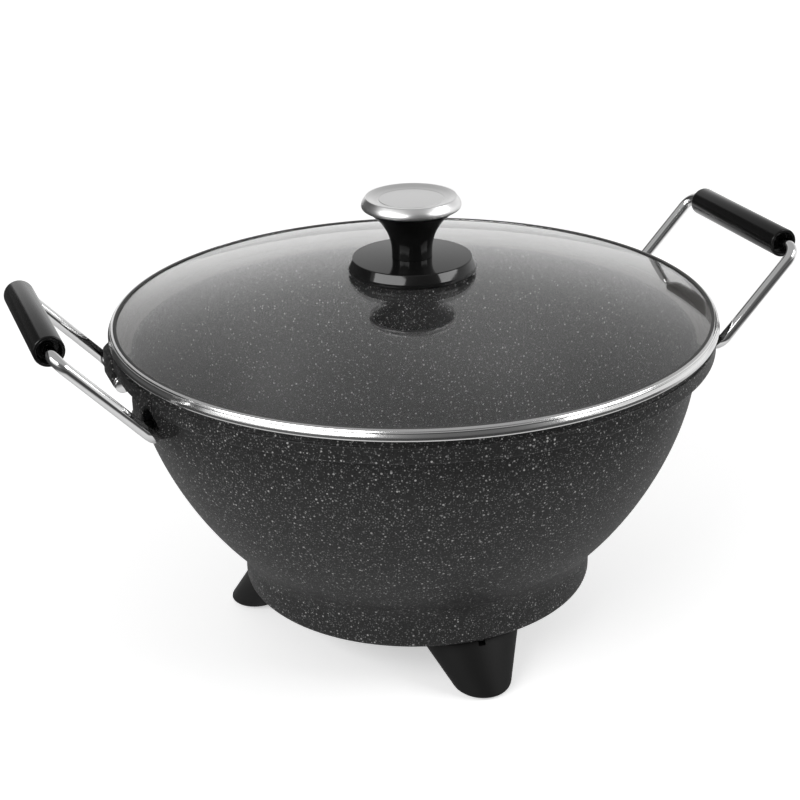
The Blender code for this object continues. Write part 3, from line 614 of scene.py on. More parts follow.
class Sheet:
    """A node tree that a finish is written on."""

    def __init__(self, tree: bpy.types.NodeTree) -> None:
        """Keep the tree."""
        self.tree = tree

    def add(
        self, kind: str, settings: Mapping[str, str], inputs: Mapping[str | int, Value],
        output: str | int = 0,
    ) -> Signal:
        """Add any node.

        Args:
            kind: The node's type.
            settings: Its settings, which are set first.
            inputs: A value or a signal for each of its sockets that is set.
            output: Which of its outputs is wanted.

        Returns:
            The wanted output.
        """
        node = self.tree.nodes.new(kind)
        for name, value in settings.items():
            setattr(node, name, value)
        self.feed(node, inputs)
        return Signal(self, node.outputs[output])

    def feed(self, node: bpy.types.Node, inputs: Mapping[str | int, Value]) -> None:
        """Set a node's sockets to values, and link signals to them.

        Args:
            node: The node that is fed.
            inputs: A value or a signal for each socket.
        """
        for name, value in inputs.items():
            if isinstance(value, Signal):
                self.tree.links.new(value.socket, node.inputs[name])
            else:
                node.inputs[name].default_value = value

    def place(self) -> Signal:
        """Where a point is on the wok, in metres."""
        return self.add("ShaderNodeTexCoord", {}, {}, "Object")

    def parted(self, vector: Signal) -> tuple[Signal, Signal, Signal]:
        """The three parts of a vector."""
        node = self.add("ShaderNodeSeparateXYZ", {}, {"Vector": vector}).socket.node
        return tuple(Signal(self, output) for output in node.outputs)

    def from_axis(self) -> tuple[Signal, Signal]:
        """A point's distance from the pan's axis, and its height."""
        x, y, z = self.parted(self.place())
        return (x * x + y * y) ** 0.5, z

    def toward(self, way: Signal, azimuth: float) -> Signal:
        """How far a direction leans to an azimuth in degrees, from minus one to one."""
        inputs = {0: way, 1: level_way(azimuth)}
        return self.add("ShaderNodeVectorMath", {"operation": "DOT_PRODUCT"}, inputs, "Value")

    def seen_by(self, ray: Ray) -> Signal:
        """One for a kind of ray, zero for the others."""
        return self.add("ShaderNodeLightPath", {}, {}, ray.value)

    def ramp(self, share: Signal, *stops: tuple[float, Color]) -> Signal:
        """Read a colour from a ramp.

        Args:
            share: Where the ramp is read.
            stops: Each stop's place and colour, in order.

        Returns:
            The colour.
        """
        color = self.add("ShaderNodeValToRGB", {}, {"Fac": share})
        elements = color.socket.node.color_ramp.elements
        while len(elements) < len(stops):
            elements.new(1.0)
        for element, (place, tone) in zip(elements, stops):
            element.position = place
            element.color = tone
        return color

    def noise(self, scale: float, detail: float = 2.0, place: Signal | None = None) -> Signal:
        """A soft random pattern between zero and one.

        Args:
            scale: How many waves lie on a metre.
            detail: How many finer layers it has.
            place: Where it is read, or the point on the wok.

        Returns:
            The pattern's height.
        """
        inputs = {"Vector": place or self.place(), "Scale": scale, "Detail": detail}
        return self.add("ShaderNodeTexNoise", {}, inputs)

    def blend(self, share: Value, first: Value, second: Value) -> Signal:
        """Mix two colours by a share."""
        inputs = {0: share, 6: first, 7: second}
        return self.add("ShaderNodeMix", {"data_type": "RGBA"}, inputs, 2)

    def bump(self, height: Signal, depth: float, strength: float = 1.0) -> Signal:
        """A surface normal from a height.

        Args:
            height: The height, between zero and one.
            depth: How high one is, in metres.
            strength: How much of it shows.

        Returns:
            The normal.
        """
        inputs = {"Height": height, "Distance": depth, "Strength": strength}
        return self.add("ShaderNodeBump", {}, inputs)


def gray(level: float, warm: float = 0.0) -> Color:
    """A near-neutral colour, with a little more red than blue where it is warm."""
    return (level * (1 + warm), level, level * (1 - warm), 1.0)


@dataclass(frozen=True)
class Finish(ABC):
    """What all finishes share: one Principled shader and a written sheet."""

    name: str
    specular: float = 0.5
    made: dict = field(default_factory=dict, compare=False, repr=False)

    @abstractmethod
    def write(self, sheet: Sheet, shader: bpy.types.Node) -> None:
        """Write the finish on a new material's sheet.

        Args:
            sheet: The material's sheet.
            shader: Its Principled shader.
        """

    def material(self) -> bpy.types.Material:
        """The finish's material, made once.

        Returns:
            The material.
        """
        if "material" not in self.made:
            material = bpy.data.materials.new(self.name)
            material.use_nodes = True
            shader = material.node_tree.nodes["Principled BSDF"]
            shader.inputs["Specular IOR Level"].default_value = self.specular
            self.write(Sheet(material.node_tree), shader)
            self.made["material"] = material
        return self.made["material"]

    def dress(self, *pieces: Piece) -> None:
        """Give pieces this finish all over.

        Args:
            pieces: The objects to dress.
        """
        for piece in pieces:
            if not piece.material_slots:
                piece.data.materials.append(self.material())
            for slot in piece.material_slots:
                slot.material = self.material()

    def dress_nodes(self, *names: str) -> None:
        """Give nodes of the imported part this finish."""
        self.dress(*(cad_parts[name] for name in names))


@dataclass(frozen=True)
class Scatter:
    """How specks lie: the pitch of their cells, the share of cells that hold one, their radii."""

    pitch: float
    share: float
    least: float
    most: float


@dataclass(frozen=True)
class GraniteCoating(Finish):
    """A charcoal non-stick coating with fine pale specks and a few bright ones."""

    specular: float = 0.30
    ground_level: float = 0.015
    faint_level: float = 0.26
    fine_level: float = 0.44
    chip_level: float = 0.70
    # Painted highlight: the tone of the paler band inside the rim, and the radius and height where
    # it stops.
    rim_highlight_level: float = 0.13
    rim_r: float = 0.1757
    rim_z: float = 0.1862
    faint: Scatter = Scatter(0.0011, 0.85, 0.20, 0.46)
    fine: Scatter = Scatter(0.0022, 0.75, 0.12, 0.32)
    chips: Scatter = Scatter(0.0062, 0.26, 0.05, 0.11)

    def specks(self, sheet: Sheet, scatter: Scatter) -> Signal:
        """Scattered round specks.

        Args:
            sheet: The material's sheet.
            scatter: How they lie, with their radii in cells.

        Returns:
            Up to one on a speck, zero elsewhere.
        """
        inputs = {"Vector": sheet.place(), "Scale": 1 / scatter.pitch}
        cell = sheet.add("ShaderNodeTexVoronoi", {}, inputs, "Distance")
        color = Signal(sheet, cell.socket.node.outputs["Color"])
        chance, size, tone = sheet.parted(color)
        radius = scatter.least + size * (scatter.most - scatter.least)
        held = chance > (1 - scatter.share)
        return ((radius - cell) * 12.0).clamped() * held * (0.25 + tone * 0.75)

    def write(self, sheet: Sheet, shader: bpy.types.Node) -> None:
        """Write the coating: base, specks, orange peel, and a painted highlight: the paler band
        inside the rim.

        Args:
            sheet: The material's sheet.
            shader: Its Principled shader.
        """
        kinds = (self.faint, self.fine, self.chips)
        faint, fine, chips = (self.specks(sheet, kind) for kind in kinds)
        grit = ((sheet.noise(900.0) - 0.5) * 2.4 + 0.5).clamped()
        tone = sheet.blend(grit, gray(self.ground_level * 0.55), gray(self.ground_level * 1.55))
        tone = sheet.blend(faint * 0.60, tone, gray(self.faint_level))
        tone = sheet.blend(fine, tone, gray(self.fine_level, 0.01))
        tone = sheet.blend(chips, tone, gray(self.chip_level, 0.01))
        radius, height = sheet.from_axis()
        # Painted highlight: the sloped seat inside the rim is painted paler, standing in for the
        # sheen on its rounded corners.
        edge = ((self.rim_r - radius) > 0.0) * (height > self.rim_z)
        tone = sheet.blend(edge * 0.9, tone, gray(self.rim_highlight_level, 0.04))
        peel = sheet.noise(620.0)
        relief = peel * 0.7 + fine * 0.15 + chips * 0.3
        sheet.feed(shader, {
            "Base Color": tone,
            "Roughness": 0.44 + peel * 0.12 + fine * 0.05,
            "Normal": sheet.bump(relief, 0.00010, 0.55),
        })


@dataclass(frozen=True)
class TurnedSteel(Finish):
    """Steel with the fine circular lines of a lathe or a polishing wheel."""

    level: float = 0.70
    rough: float = 0.10
    spread: float = 0.06
    lines: float = 2600.0
    depth: float = 0.000006

    def write(self, sheet: Sheet, shader: bpy.types.Node) -> None:
        """Write the steel: circular lines in roughness and height.

        Args:
            sheet: The material's sheet.
            shader: Its Principled shader.
        """
        radius, height = sheet.from_axis()
        inputs = {"W": (radius + height * 0.8) * self.lines, "Scale": 1.0, "Detail": 3.0}
        grain = sheet.add("ShaderNodeTexNoise", {"noise_dimensions": "1D"}, inputs)
        cloud = sheet.noise(45.0, 3.0)
        share = grain * 0.5 + cloud * 0.5
        sheet.feed(shader, {
            "Metallic": 1.0,
            "Base Color": sheet.blend(share, gray(self.level * 0.94), gray(self.level, 0.004)),
            "Roughness": self.rough + grain * self.spread + cloud * (self.spread * 0.5),
            "Normal": sheet.bump(grain, self.depth, 0.6),
        })


@dataclass(frozen=True)
class PlatedMetal(Finish):
    """Plated or bare metal that is smooth but handled: faint smudges in the shine."""

    level: float = 0.86
    warm: float = 0.0
    rough: float = 0.035
    spread: float = 0.05
    dark: float = 0.92

    def write(self, sheet: Sheet, shader: bpy.types.Node) -> None:
        """Write the metal: smudges and a slight ripple.

        Args:
            sheet: The material's sheet.
            shader: Its Principled shader.
        """
        smudge = sheet.noise(85.0, 4.0)
        dull = gray(self.level * self.dark, self.warm)
        sheet.feed(shader, {
            "Metallic": 1.0,
            "Base Color": sheet.blend(smudge, dull, gray(self.level, self.warm)),
            "Roughness": self.rough + smudge * self.spread,
            "Normal": sheet.bump(sheet.noise(240.0), 0.00003, 0.25),
        })


@dataclass(frozen=True)
class MouldedPlastic(Finish):
    """Black moulded plastic, from gloss to a fine spark-eroded matte."""

    level: float = 0.006
    rough: float = 0.13
    spread: float = 0.05
    grain: float = 700.0
    depth: float = 0.00001

    def write(self, sheet: Sheet, shader: bpy.types.Node) -> None:
        """Write the plastic: mould grain, faint flow marks and wiped shine.

        Args:
            sheet: The material's sheet.
            shader: Its Principled shader.
        """
        grain = sheet.noise(self.grain, 3.0)
        flow = sheet.noise(42.0, 3.0)
        sheet.feed(shader, {
            "Base Color": sheet.blend(flow, gray(self.level * 0.8), gray(self.level * 1.25, 0.01)),
            "Roughness": self.rough + flow * self.spread + grain * self.spread,
            "Normal": sheet.bump(grain, self.depth, 0.5),
        })


@dataclass(frozen=True)
class SoftRubber(Finish):
    """Rubber or silicone with a dusty bloom."""

    level: float = 0.02
    bloom: float = 0.05

    def write(self, sheet: Sheet, shader: bpy.types.Node) -> None:
        """Write the rubber: bloom and a fine pore.

        Args:
            sheet: The material's sheet.
            shader: Its Principled shader.
        """
        dust = sheet.noise(120.0, 4.0)
        dusty = gray(self.level + self.bloom, 0.02)
        sheet.feed(shader, {
            "Base Color": sheet.blend(dust * dust, gray(self.level), dusty),
            "Roughness": 0.62 + dust * 0.25,
            "Normal": sheet.bump(sheet.noise(1400.0), 0.00004, 0.4),
        })


@dataclass(frozen=True)
class HeatedSteel(Finish):
    """A heater's sheath, darkened and tinted by its own heat."""

    stops: Sequence[tuple[float, Color]] = (
        (0.25, (0.10, 0.09, 0.09, 1.0)), (0.45, (0.24, 0.18, 0.13, 1.0)),
        (0.60, (0.13, 0.13, 0.17, 1.0)), (0.80, (0.22, 0.21, 0.20, 1.0)),
    )

    def write(self, sheet: Sheet, shader: bpy.types.Node) -> None:
        """Write the sheath: straw and blue tempering over dull steel.

        Args:
            sheet: The material's sheet.
            shader: Its Principled shader.
        """
        sheet.feed(shader, {
            "Metallic": 1.0,
            "Base Color": sheet.ramp(sheet.noise(34.0, 4.0), *self.stops),
            "Roughness": 0.38 + sheet.noise(300.0) * 0.2,
            "Normal": sheet.bump(sheet.noise(900.0), 0.00003, 0.4),
        })


@dataclass(frozen=True)
class ClearGlass(Finish):
    """Tempered glass, with the faint smears of a wiped pane. Lamps shine through it."""

    tint: float = 0.96
    index: float = 1.45

    def write(self, sheet: Sheet, shader: bpy.types.Node) -> None:
        """Write the glass: clear, bending light, with faint wipe marks in its shine.

        Args:
            sheet: The material's sheet.
            shader: Its Principled shader.
        """
        smear = sheet.noise(30.0, 4.0)
        sheet.feed(shader, {
            "Base Color": sheet.blend(smear, gray(self.tint * 0.98), gray(self.tint)),
            "Roughness": 0.004 + smear * 0.012,
            "Transmission Weight": 1.0,
            "IOR": self.index,
        })
        lamp = sheet.seen_by(Ray.SHADOW)
        open_air = sheet.add("ShaderNodeBsdfTransparent", {}, {"Color": gray(0.9)})
        bent = Signal(sheet, shader.outputs[0])
        both = sheet.add("ShaderNodeMixShader", {}, {0: lamp, 1: bent, 2: open_air})
        sheet.feed(sheet.tree.nodes["Material Output"], {"Surface": both})


GRANITE = GraniteCoating("granite_coating")
BAND_STEEL = TurnedSteel("polished_band", level=0.80, rough=0.06, spread=0.10, lines=2100.0)
CAP_STEEL = TurnedSteel(
    "satin_cap", level=0.86, rough=0.24, spread=0.10, lines=3800.0, depth=0.000012
)
SHEET_STEEL = TurnedSteel("reflector_sheet", level=0.62, rough=0.22, spread=0.14, lines=900.0)
CHROME = PlatedMetal("chromed_wire")
NICKEL = PlatedMetal("nickel_plate", level=0.62, warm=0.04, rough=0.22, spread=0.16, dark=0.8)
KNOB_PLASTIC = MouldedPlastic("gloss_knob", 0.42, rough=0.05, spread=0.04)
GRIP_PLASTIC = MouldedPlastic("satin_grip", 0.30, grain=1100.0)
LEG_PLASTIC = MouldedPlastic(
    "matte_leg", 0.20, rough=0.36, spread=0.12, grain=1500.0, depth=0.00003
)
SILICONE = SoftRubber("grey_silicone", level=0.26, bloom=0.12)
RUBBER = SoftRubber("foot_rubber")
# A black ring that makes the dark line between the lid band's lip and the glass.
DARK_RING_FINISH = SoftRubber("dark_ring_finish", level=0.045)
SHEATH = HeatedSteel("element_sheath")
GLASS = ClearGlass("tempered_glass")


# The wok's sub-assemblies

def carry(piece: Piece, finish: Finish, body: str, slot: str, *nodes: str) -> None:
    """Dress a new piece and put it on its body, in the place of the nodes that it stands for.

    Args:
        piece: The finished piece.
        finish: The finish that it gets all over.
        body: The body that it moves with.
        slot: The material slot of the record that it belongs to. Not used.
        nodes: The plain nodes that it replaces.
    """
    finish.dress(piece)
    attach(piece, body)
    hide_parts(*nodes)
    heights = [vert.co.z for vert in piece.data.vertices]
    LOG.info(
        "%s: %d faces, on %s, from %.4f to %.4f m", piece.name, len(piece.data.polygons), body,
        min(heights), max(heights),
    )


@dataclass
class Pan:
    """The cast pan: bowl, collar, heater skirt, four ears and the feet of the base's screws."""

    collar_r: float = 0.1785
    rim_top: float = 0.1957
    rim_w: float = 0.004
    rebate: Point = (0.0016, 0.0034)
    slope_drop: float = 0.0085
    slope_h: float = 0.002
    slope_steps: Sequence[Place] = (
        (0.0058, 0.0, 0.0010), (0.0042, 0.0030, 0.0006), (0.0032, 0.0034, 0.0006),
    )
    ledge_z: float = 0.183
    bowl_r: float = 0.1686
    wall: float = 0.004
    floor_r: float = 0.060
    floor_z: float = 0.060
    underside_z: float = 0.054
    skirt_r: float = 0.1074
    skirt_z: float = 0.032
    skirt_wall: float = 0.0058
    band_top_z: float = 0.046
    steps: int = 168
    bowl_steps: int = 26
    blend_steps: int = 12
    skirt_arc_steps: int = 7
    bowl_share: float = 0.70
    outer_shares: Sequence[Point] = ((0.994, 0.101), (0.971, 0.492), (0.703, 1.032), (0.489, 1.092))
    inner_shares: Sequence[Point] = ((0.993, 0.106), (0.963, 0.504), (0.760, 0.984))

    hook_x: float = 0.1725
    hook_z: float = 0.172
    wire_r: float = 0.0035
    ear_y: Point = (0.028, 0.050)
    ear_r: float = 0.0052
    ear_root: float = 0.014
    ear_top: float = 0.1905
    ear_shoulder: float = 0.0045
    ear_flare: float = 0.017
    ear_edge: float = 0.0009
    ear_foot_share: float = 0.98
    ear_arc_steps: int = 10
    overrun: float = 0.004
    pocket_l: float = 0.009
    pocket_rise: float = 0.003
    pocket_play: float = 0.0002
    pocket_seam: float = 0.0001
    pocket_shares: Point = (0.15, 0.6)
    bore_sides: int = 32
    core_wall_share: float = 0.55
    core_sides: int = 96
    core: Sequence[Point] = ((-0.0015, 0.150), (0.0, 0.184), (0.007, 0.1885), (0.007, 0.192))

    post_r: float = 0.005
    post_x: float = 0.045
    post_z: Point = (0.0348, 0.056)
    post_angles: Sequence[float] = (-30.0, 90.0, 210.0)
    post_sides: int = 24
    nib: tuple[Place, Place] = ((0.0999, -0.0015, 0.0295), (0.1029, 0.0015, 0.0345))
    nib_edge: float = 0.0004
    window: tuple[Place, Place] = ((-0.0223, 0.0976, 0.0345), (0.0223, 0.126, 0.0523))
    window_edge: float = 0.0006
    sharp_angle: float = 30.0

    def outline(self) -> list[Point]:
        """The casting's whole section, from the cooking floor's middle to the underside's.

        Returns:
            The section's points, across and up.
        """
        depth = self.ledge_z - self.underside_z
        outer = [(r * self.bowl_r, self.ledge_z - d * depth) for r, d in self.outer_shares]
        outer = bezier(outer, self.bowl_steps, self.bowl_share)
        bowl_end = outer[-1]
        corner_z = max(bowl_end[1] - abs(bowl_end[0] - self.skirt_r), self.band_top_z)
        turn, blend_end = (self.skirt_r, corner_z), (self.skirt_r, self.band_top_z)
        blend = bezier([bowl_end, turn, blend_end], self.blend_steps)
        inner_r = self.bowl_r - self.wall
        hollow = self.ledge_z - self.floor_z
        inner = [(r * inner_r, self.ledge_z - d * hollow) for r, d in self.inner_shares]
        inner = bezier([*inner, (self.floor_r, self.floor_z)], self.bowl_steps)
        rim_in = self.collar_r - self.rim_w
        slope_z = self.rim_top - self.slope_drop
        standing_r = self.collar_r - self.rebate[0]
        shoulder_z = self.rim_top - self.rebate[1]
        rim = rounded((
            Corner(*inner[0]),
            Corner(inner_r, slope_z - self.slope_h, 0.0010),
            *(Corner(rim_in - back, slope_z + up, arc) for back, up, arc in self.slope_steps),
            Corner(rim_in, self.rim_top, 0.0008),
            Corner(standing_r, self.rim_top, 0.0005),
            Corner(standing_r, shoulder_z, 0.0004),
            Corner(self.collar_r, shoulder_z, 0.0007),
            Corner(self.collar_r, self.ledge_z, 0.0011),
            Corner(self.bowl_r, self.ledge_z, 0.0012),
            Corner(*outer[0]),
        ))
        cavity_r = self.skirt_r - self.skirt_wall
        skirt = rounded((
            Corner(*blend[-1]),
            Corner(self.skirt_r, self.skirt_z, 0.0045),
            Corner(cavity_r, self.skirt_z, 0.0010),
            Corner(cavity_r, self.underside_z, 0.0030),
            Corner(0.0, self.underside_z),
        ), self.skirt_arc_steps)
        floor = [(0.0, self.floor_z), (self.floor_r * 0.5, self.floor_z)]
        return [*floor, *reversed(inner), *rim[1:-1], *outer, *blend[1:], *skirt[1:]]

    def ear(self) -> Piece:
        """Shape the right rear ear, round below, flared at its root and with its edges broken.

        Returns:
            The ear.
        """
        root = self.bowl_r - self.wall - self.ear_root
        outside = self.hook_x + self.ear_r
        foot_z = self.hook_z - self.ear_r
        outline = rounded((
            Corner(root, self.ear_top),
            Corner(self.hook_x, self.ear_top, 0.0030),
            Corner(outside, self.ear_top - self.ear_shoulder, 0.0040),
            Corner(outside, foot_z, self.ear_r * self.ear_foot_share),
            Corner(root, foot_z),
        ), self.ear_arc_steps)
        near, far = self.ear_y
        ear = BENCH.prism("ear", outline, near, far)
        with BENCH.editing(ear):
            BENCH.pick(
                ear,
                lambda place, _: place.x < root + BENCH.NEAR
                and place.y > far - BENCH.NEAR and place.z > self.hook_z,
                Element.VERT,
            )
            bpy.ops.transform.translate(value=(0.0, self.ear_flare, 0.0))
            bpy.ops.mesh.select_all(action="SELECT")
            bpy.ops.mesh.vert_connect_nonplanar(angle_limit=BENCH.FLAT_ANGLE)
        BENCH.rounded_off(ear, self.ear_edge)
        with BENCH.editing(ear):
            BENCH.tidy()
        return BENCH.smoothed(ear)

    def cleared(self, ear: Piece) -> Piece:
        """Cut an ear's root back to the middle of the bowl's wall, so that the bowl stays clean.

        Args:
            ear: The ear that is cut.

        Returns:
            The same ear.
        """
        radius = self.bowl_r - self.wall * self.core_wall_share
        side = [(radius + out, height) for out, height in self.core]
        outline = [(0.0, side[0][1]), *side, (0.0, side[-1][1])]
        return BENCH.worked(ear, BENCH.turned("core", outline, self.core_sides), Cut.AWAY)

    def hook_tools(self) -> list[Piece]:
        """The cutters of the right rear ear: the hook's bore, and the pocket that it enters.

        Returns:
            The bore's and the pocket's solids.
        """
        near, far = self.ear_y
        bore_r = self.wire_r + GAP
        ends = (near - self.overrun, far + self.overrun)
        bore = BENCH.peg("bore", bore_r, *ends, self.bore_sides)
        lay = Matrix.Rotation(-math.pi / 2, 4, "X")
        BENCH.moved(bore, Matrix.Translation((self.hook_x, 0.0, self.hook_z)) @ lay)
        half = bore_r + self.pocket_play
        low = self.hook_z - self.wire_r - 2 * GAP
        high = self.ledge_z + self.pocket_rise
        top_share, side_share = self.pocket_shares
        slot = rounded((
            Corner(self.hook_x, low),
            Corner(self.hook_x + half, low, 0.0010),
            Corner(self.hook_x + half, high, 0.0014),
            Corner(self.hook_x + half * top_share, high, 0.0014),
            Corner(self.hook_x - half, self.hook_z + half * side_share, 0.0030),
            Corner(self.hook_x - half, low, 0.0010),
            Corner(self.hook_x - self.pocket_seam, low),
        ), 4)
        return [bore, BENCH.prism("pocket", slot, far - self.pocket_l, far + self.overrun)]

    def build(self) -> None:
        """Cast the pan, put its ears on, bore and open what is bored and open, and coat it."""
        pan = BENCH.turned("pan", self.outline(), self.steps)
        quarters = [(side, end) for side in Side for end in (1, -1)]
        first = self.ear()
        for side, end in quarters:
            ear = BENCH.mirrored(BENCH.copied(first, "ear_copy", Matrix.Identity(4)), side, end)
            BENCH.worked(pan, self.cleared(ear), Cut.JOIN)
        BENCH.drop(first)
        for side, end in quarters:
            for tool in self.hook_tools():
                BENCH.worked(pan, BENCH.mirrored(tool, side, end), Cut.AWAY)
        for angle in self.post_angles:
            post = BENCH.peg("post", self.post_r, *self.post_z, self.post_sides)
            BENCH.moved(post, Matrix.Translation(level_way(angle) * self.post_x))
            BENCH.worked(pan, post, Cut.JOIN)
        for angle in LEG_ANGLES.values():
            nib = BENCH.block("nib", *self.nib, self.nib_edge)
            BENCH.worked(pan, BENCH.moved(nib, about_z(angle)), Cut.JOIN)
        BENCH.worked(pan, BENCH.block("window", *self.window, self.window_edge), Cut.AWAY)
        BENCH.smoothed(pan, math.radians(self.sharp_angle))
        carry(pan, GRANITE, "base", "granite_coating", "wok_pan")


@dataclass
class Handle:
    """One swinging handle: its wire loop, the two caps on its hooks and the grip."""

    side: Side
    pan: Pan
    grip_x: float = 0.2227
    grip_z: float = 0.2265
    arm_y: float = 0.062
    hook_bend: float = 0.0075
    grip_bend: float = 0.0085
    wire_end_y: float = 0.0230
    grip_r: float = 0.0087
    grip_l: float = 0.0968
    mouth_r: float = 0.0069
    mouth_taper: float = 0.0004
    mouth_depth: float = 0.0065
    cap_r: float = 0.0049
    cap_l: float = 0.0065
    cap_end_y: float = 0.0277
    cap_floor: float = 0.0015
    groove_depth: float = 0.0006
    groove_half: Point = (0.0005, 0.0007)
    grip_sides: int = 64
    cap_sides: int = 40

    @property
    def hook(self) -> Vector:
        """The middle of the hook axis."""
        return Vector((self.side.value * self.pan.hook_x, 0.0, self.pan.hook_z))

    @property
    def crossbar(self) -> Vector:
        """The middle of the grip."""
        return Vector((self.side.value * self.grip_x, 0.0, self.grip_z))

    def wire(self) -> Piece:
        """Bend the wire from its front hook round to its rear hook.

        Returns:
            The wire.
        """
        rise = (self.crossbar - self.hook).normalized()
        length = (self.crossbar - self.hook).length
        back = Vector((0.0, 1.0, 0.0))
        axis = back.cross(rise)
        arm = length - self.hook_bend - self.grip_bend
        hook_y = self.arm_y - self.hook_bend
        grip_y = self.arm_y - self.grip_bend
        low = self.hook + rise * self.hook_bend
        high = self.crossbar - rise * self.grip_bend
        start = self.hook - back * self.wire_end_y
        moves = (
            -back * (hook_y - self.wire_end_y),
            Bend(low - back * hook_y, axis),
            rise * arm,
            Bend(high - back * grip_y, axis),
            back * 2 * grip_y,
            Bend(high + back * grip_y, axis),
            -rise * arm,
            Bend(low + back * hook_y, axis),
            -back * (hook_y - self.wire_end_y),
        )
        return BENCH.bent_bar(f"wire_{self.side.label}", self.pan.wire_r, start, moves)

    def grip(self) -> Piece:
        """Turn the grip, with a wide mouth at each end.

        Returns:
            The grip.
        """
        half = self.grip_l / 2
        bore = self.pan.wire_r + GAP
        throat = self.mouth_r - self.mouth_taper
        outline = rounded((
            Corner(bore, 0.0),
            Corner(bore, half - self.mouth_depth),
            Corner(throat, half - self.mouth_depth, 0.0006),
            Corner(self.mouth_r, half, 0.0004),
            Corner(self.grip_r, half, 0.0013),
            Corner(self.grip_r, -half, 0.0013),
            Corner(self.mouth_r, -half, 0.0004),
            Corner(throat, self.mouth_depth - half, 0.0006),
            Corner(bore, self.mouth_depth - half),
        ))
        grip = BENCH.turned(f"grip_{self.side.label}", outline, self.grip_sides, closed=True)
        lay = Matrix.Translation(self.crossbar) @ Matrix.Rotation(math.pi / 2, 4, "X")
        return BENCH.moved(grip, lay)

    def retainer(self, end: int, place: str) -> Piece:
        """Turn one grooved cap, closed towards the handle's middle.

        Args:
            end: The sign of Y.
            place: The end's name.

        Returns:
            The cap.
        """
        inner = self.pan.wire_r + GAP
        middle = self.cap_l / 2
        deep_r = self.cap_r - self.groove_depth
        floor_half, mouth_half = self.groove_half
        outline = rounded((
            Corner(0.0, self.cap_floor),
            Corner(inner, self.cap_floor),
            Corner(inner, self.cap_l),
            Corner(self.cap_r, self.cap_l, 0.0004),
            Corner(self.cap_r, middle + mouth_half, 0.0002),
            Corner(deep_r, middle + floor_half, 0.0001),
            Corner(deep_r, middle - floor_half, 0.0001),
            Corner(self.cap_r, middle - mouth_half, 0.0002),
            Corner(self.cap_r, 0.0, 0.0009),
            Corner(0.0, 0.0),
        ), 4)
        cap = BENCH.turned(f"hook_cap_{self.side.label}_{place}", outline, self.cap_sides)
        turn = Matrix.Rotation(-end * math.pi / 2, 4, "X")
        spot = self.hook + Vector((0.0, end * (self.cap_end_y - self.cap_l), 0.0))
        return BENCH.moved(cap, Matrix.Translation(spot) @ turn)

    def build(self) -> None:
        """Make and dress the handle's pieces."""
        label = self.side.label
        bail = f"bail_{label}"
        carry(self.wire(), CHROME, bail, "chrome", f"handle_wire_{label}")
        carry(self.grip(), GRIP_PLASTIC, f"grip_{label}", "gloss_black", f"handle_grip_{label}")
        for end, place in ((1, "rear"), (-1, "front")):
            cap = self.retainer(end, place)
            carry(cap, CHROME, bail, "chrome", f"wire_retainer_{label}_{place}")


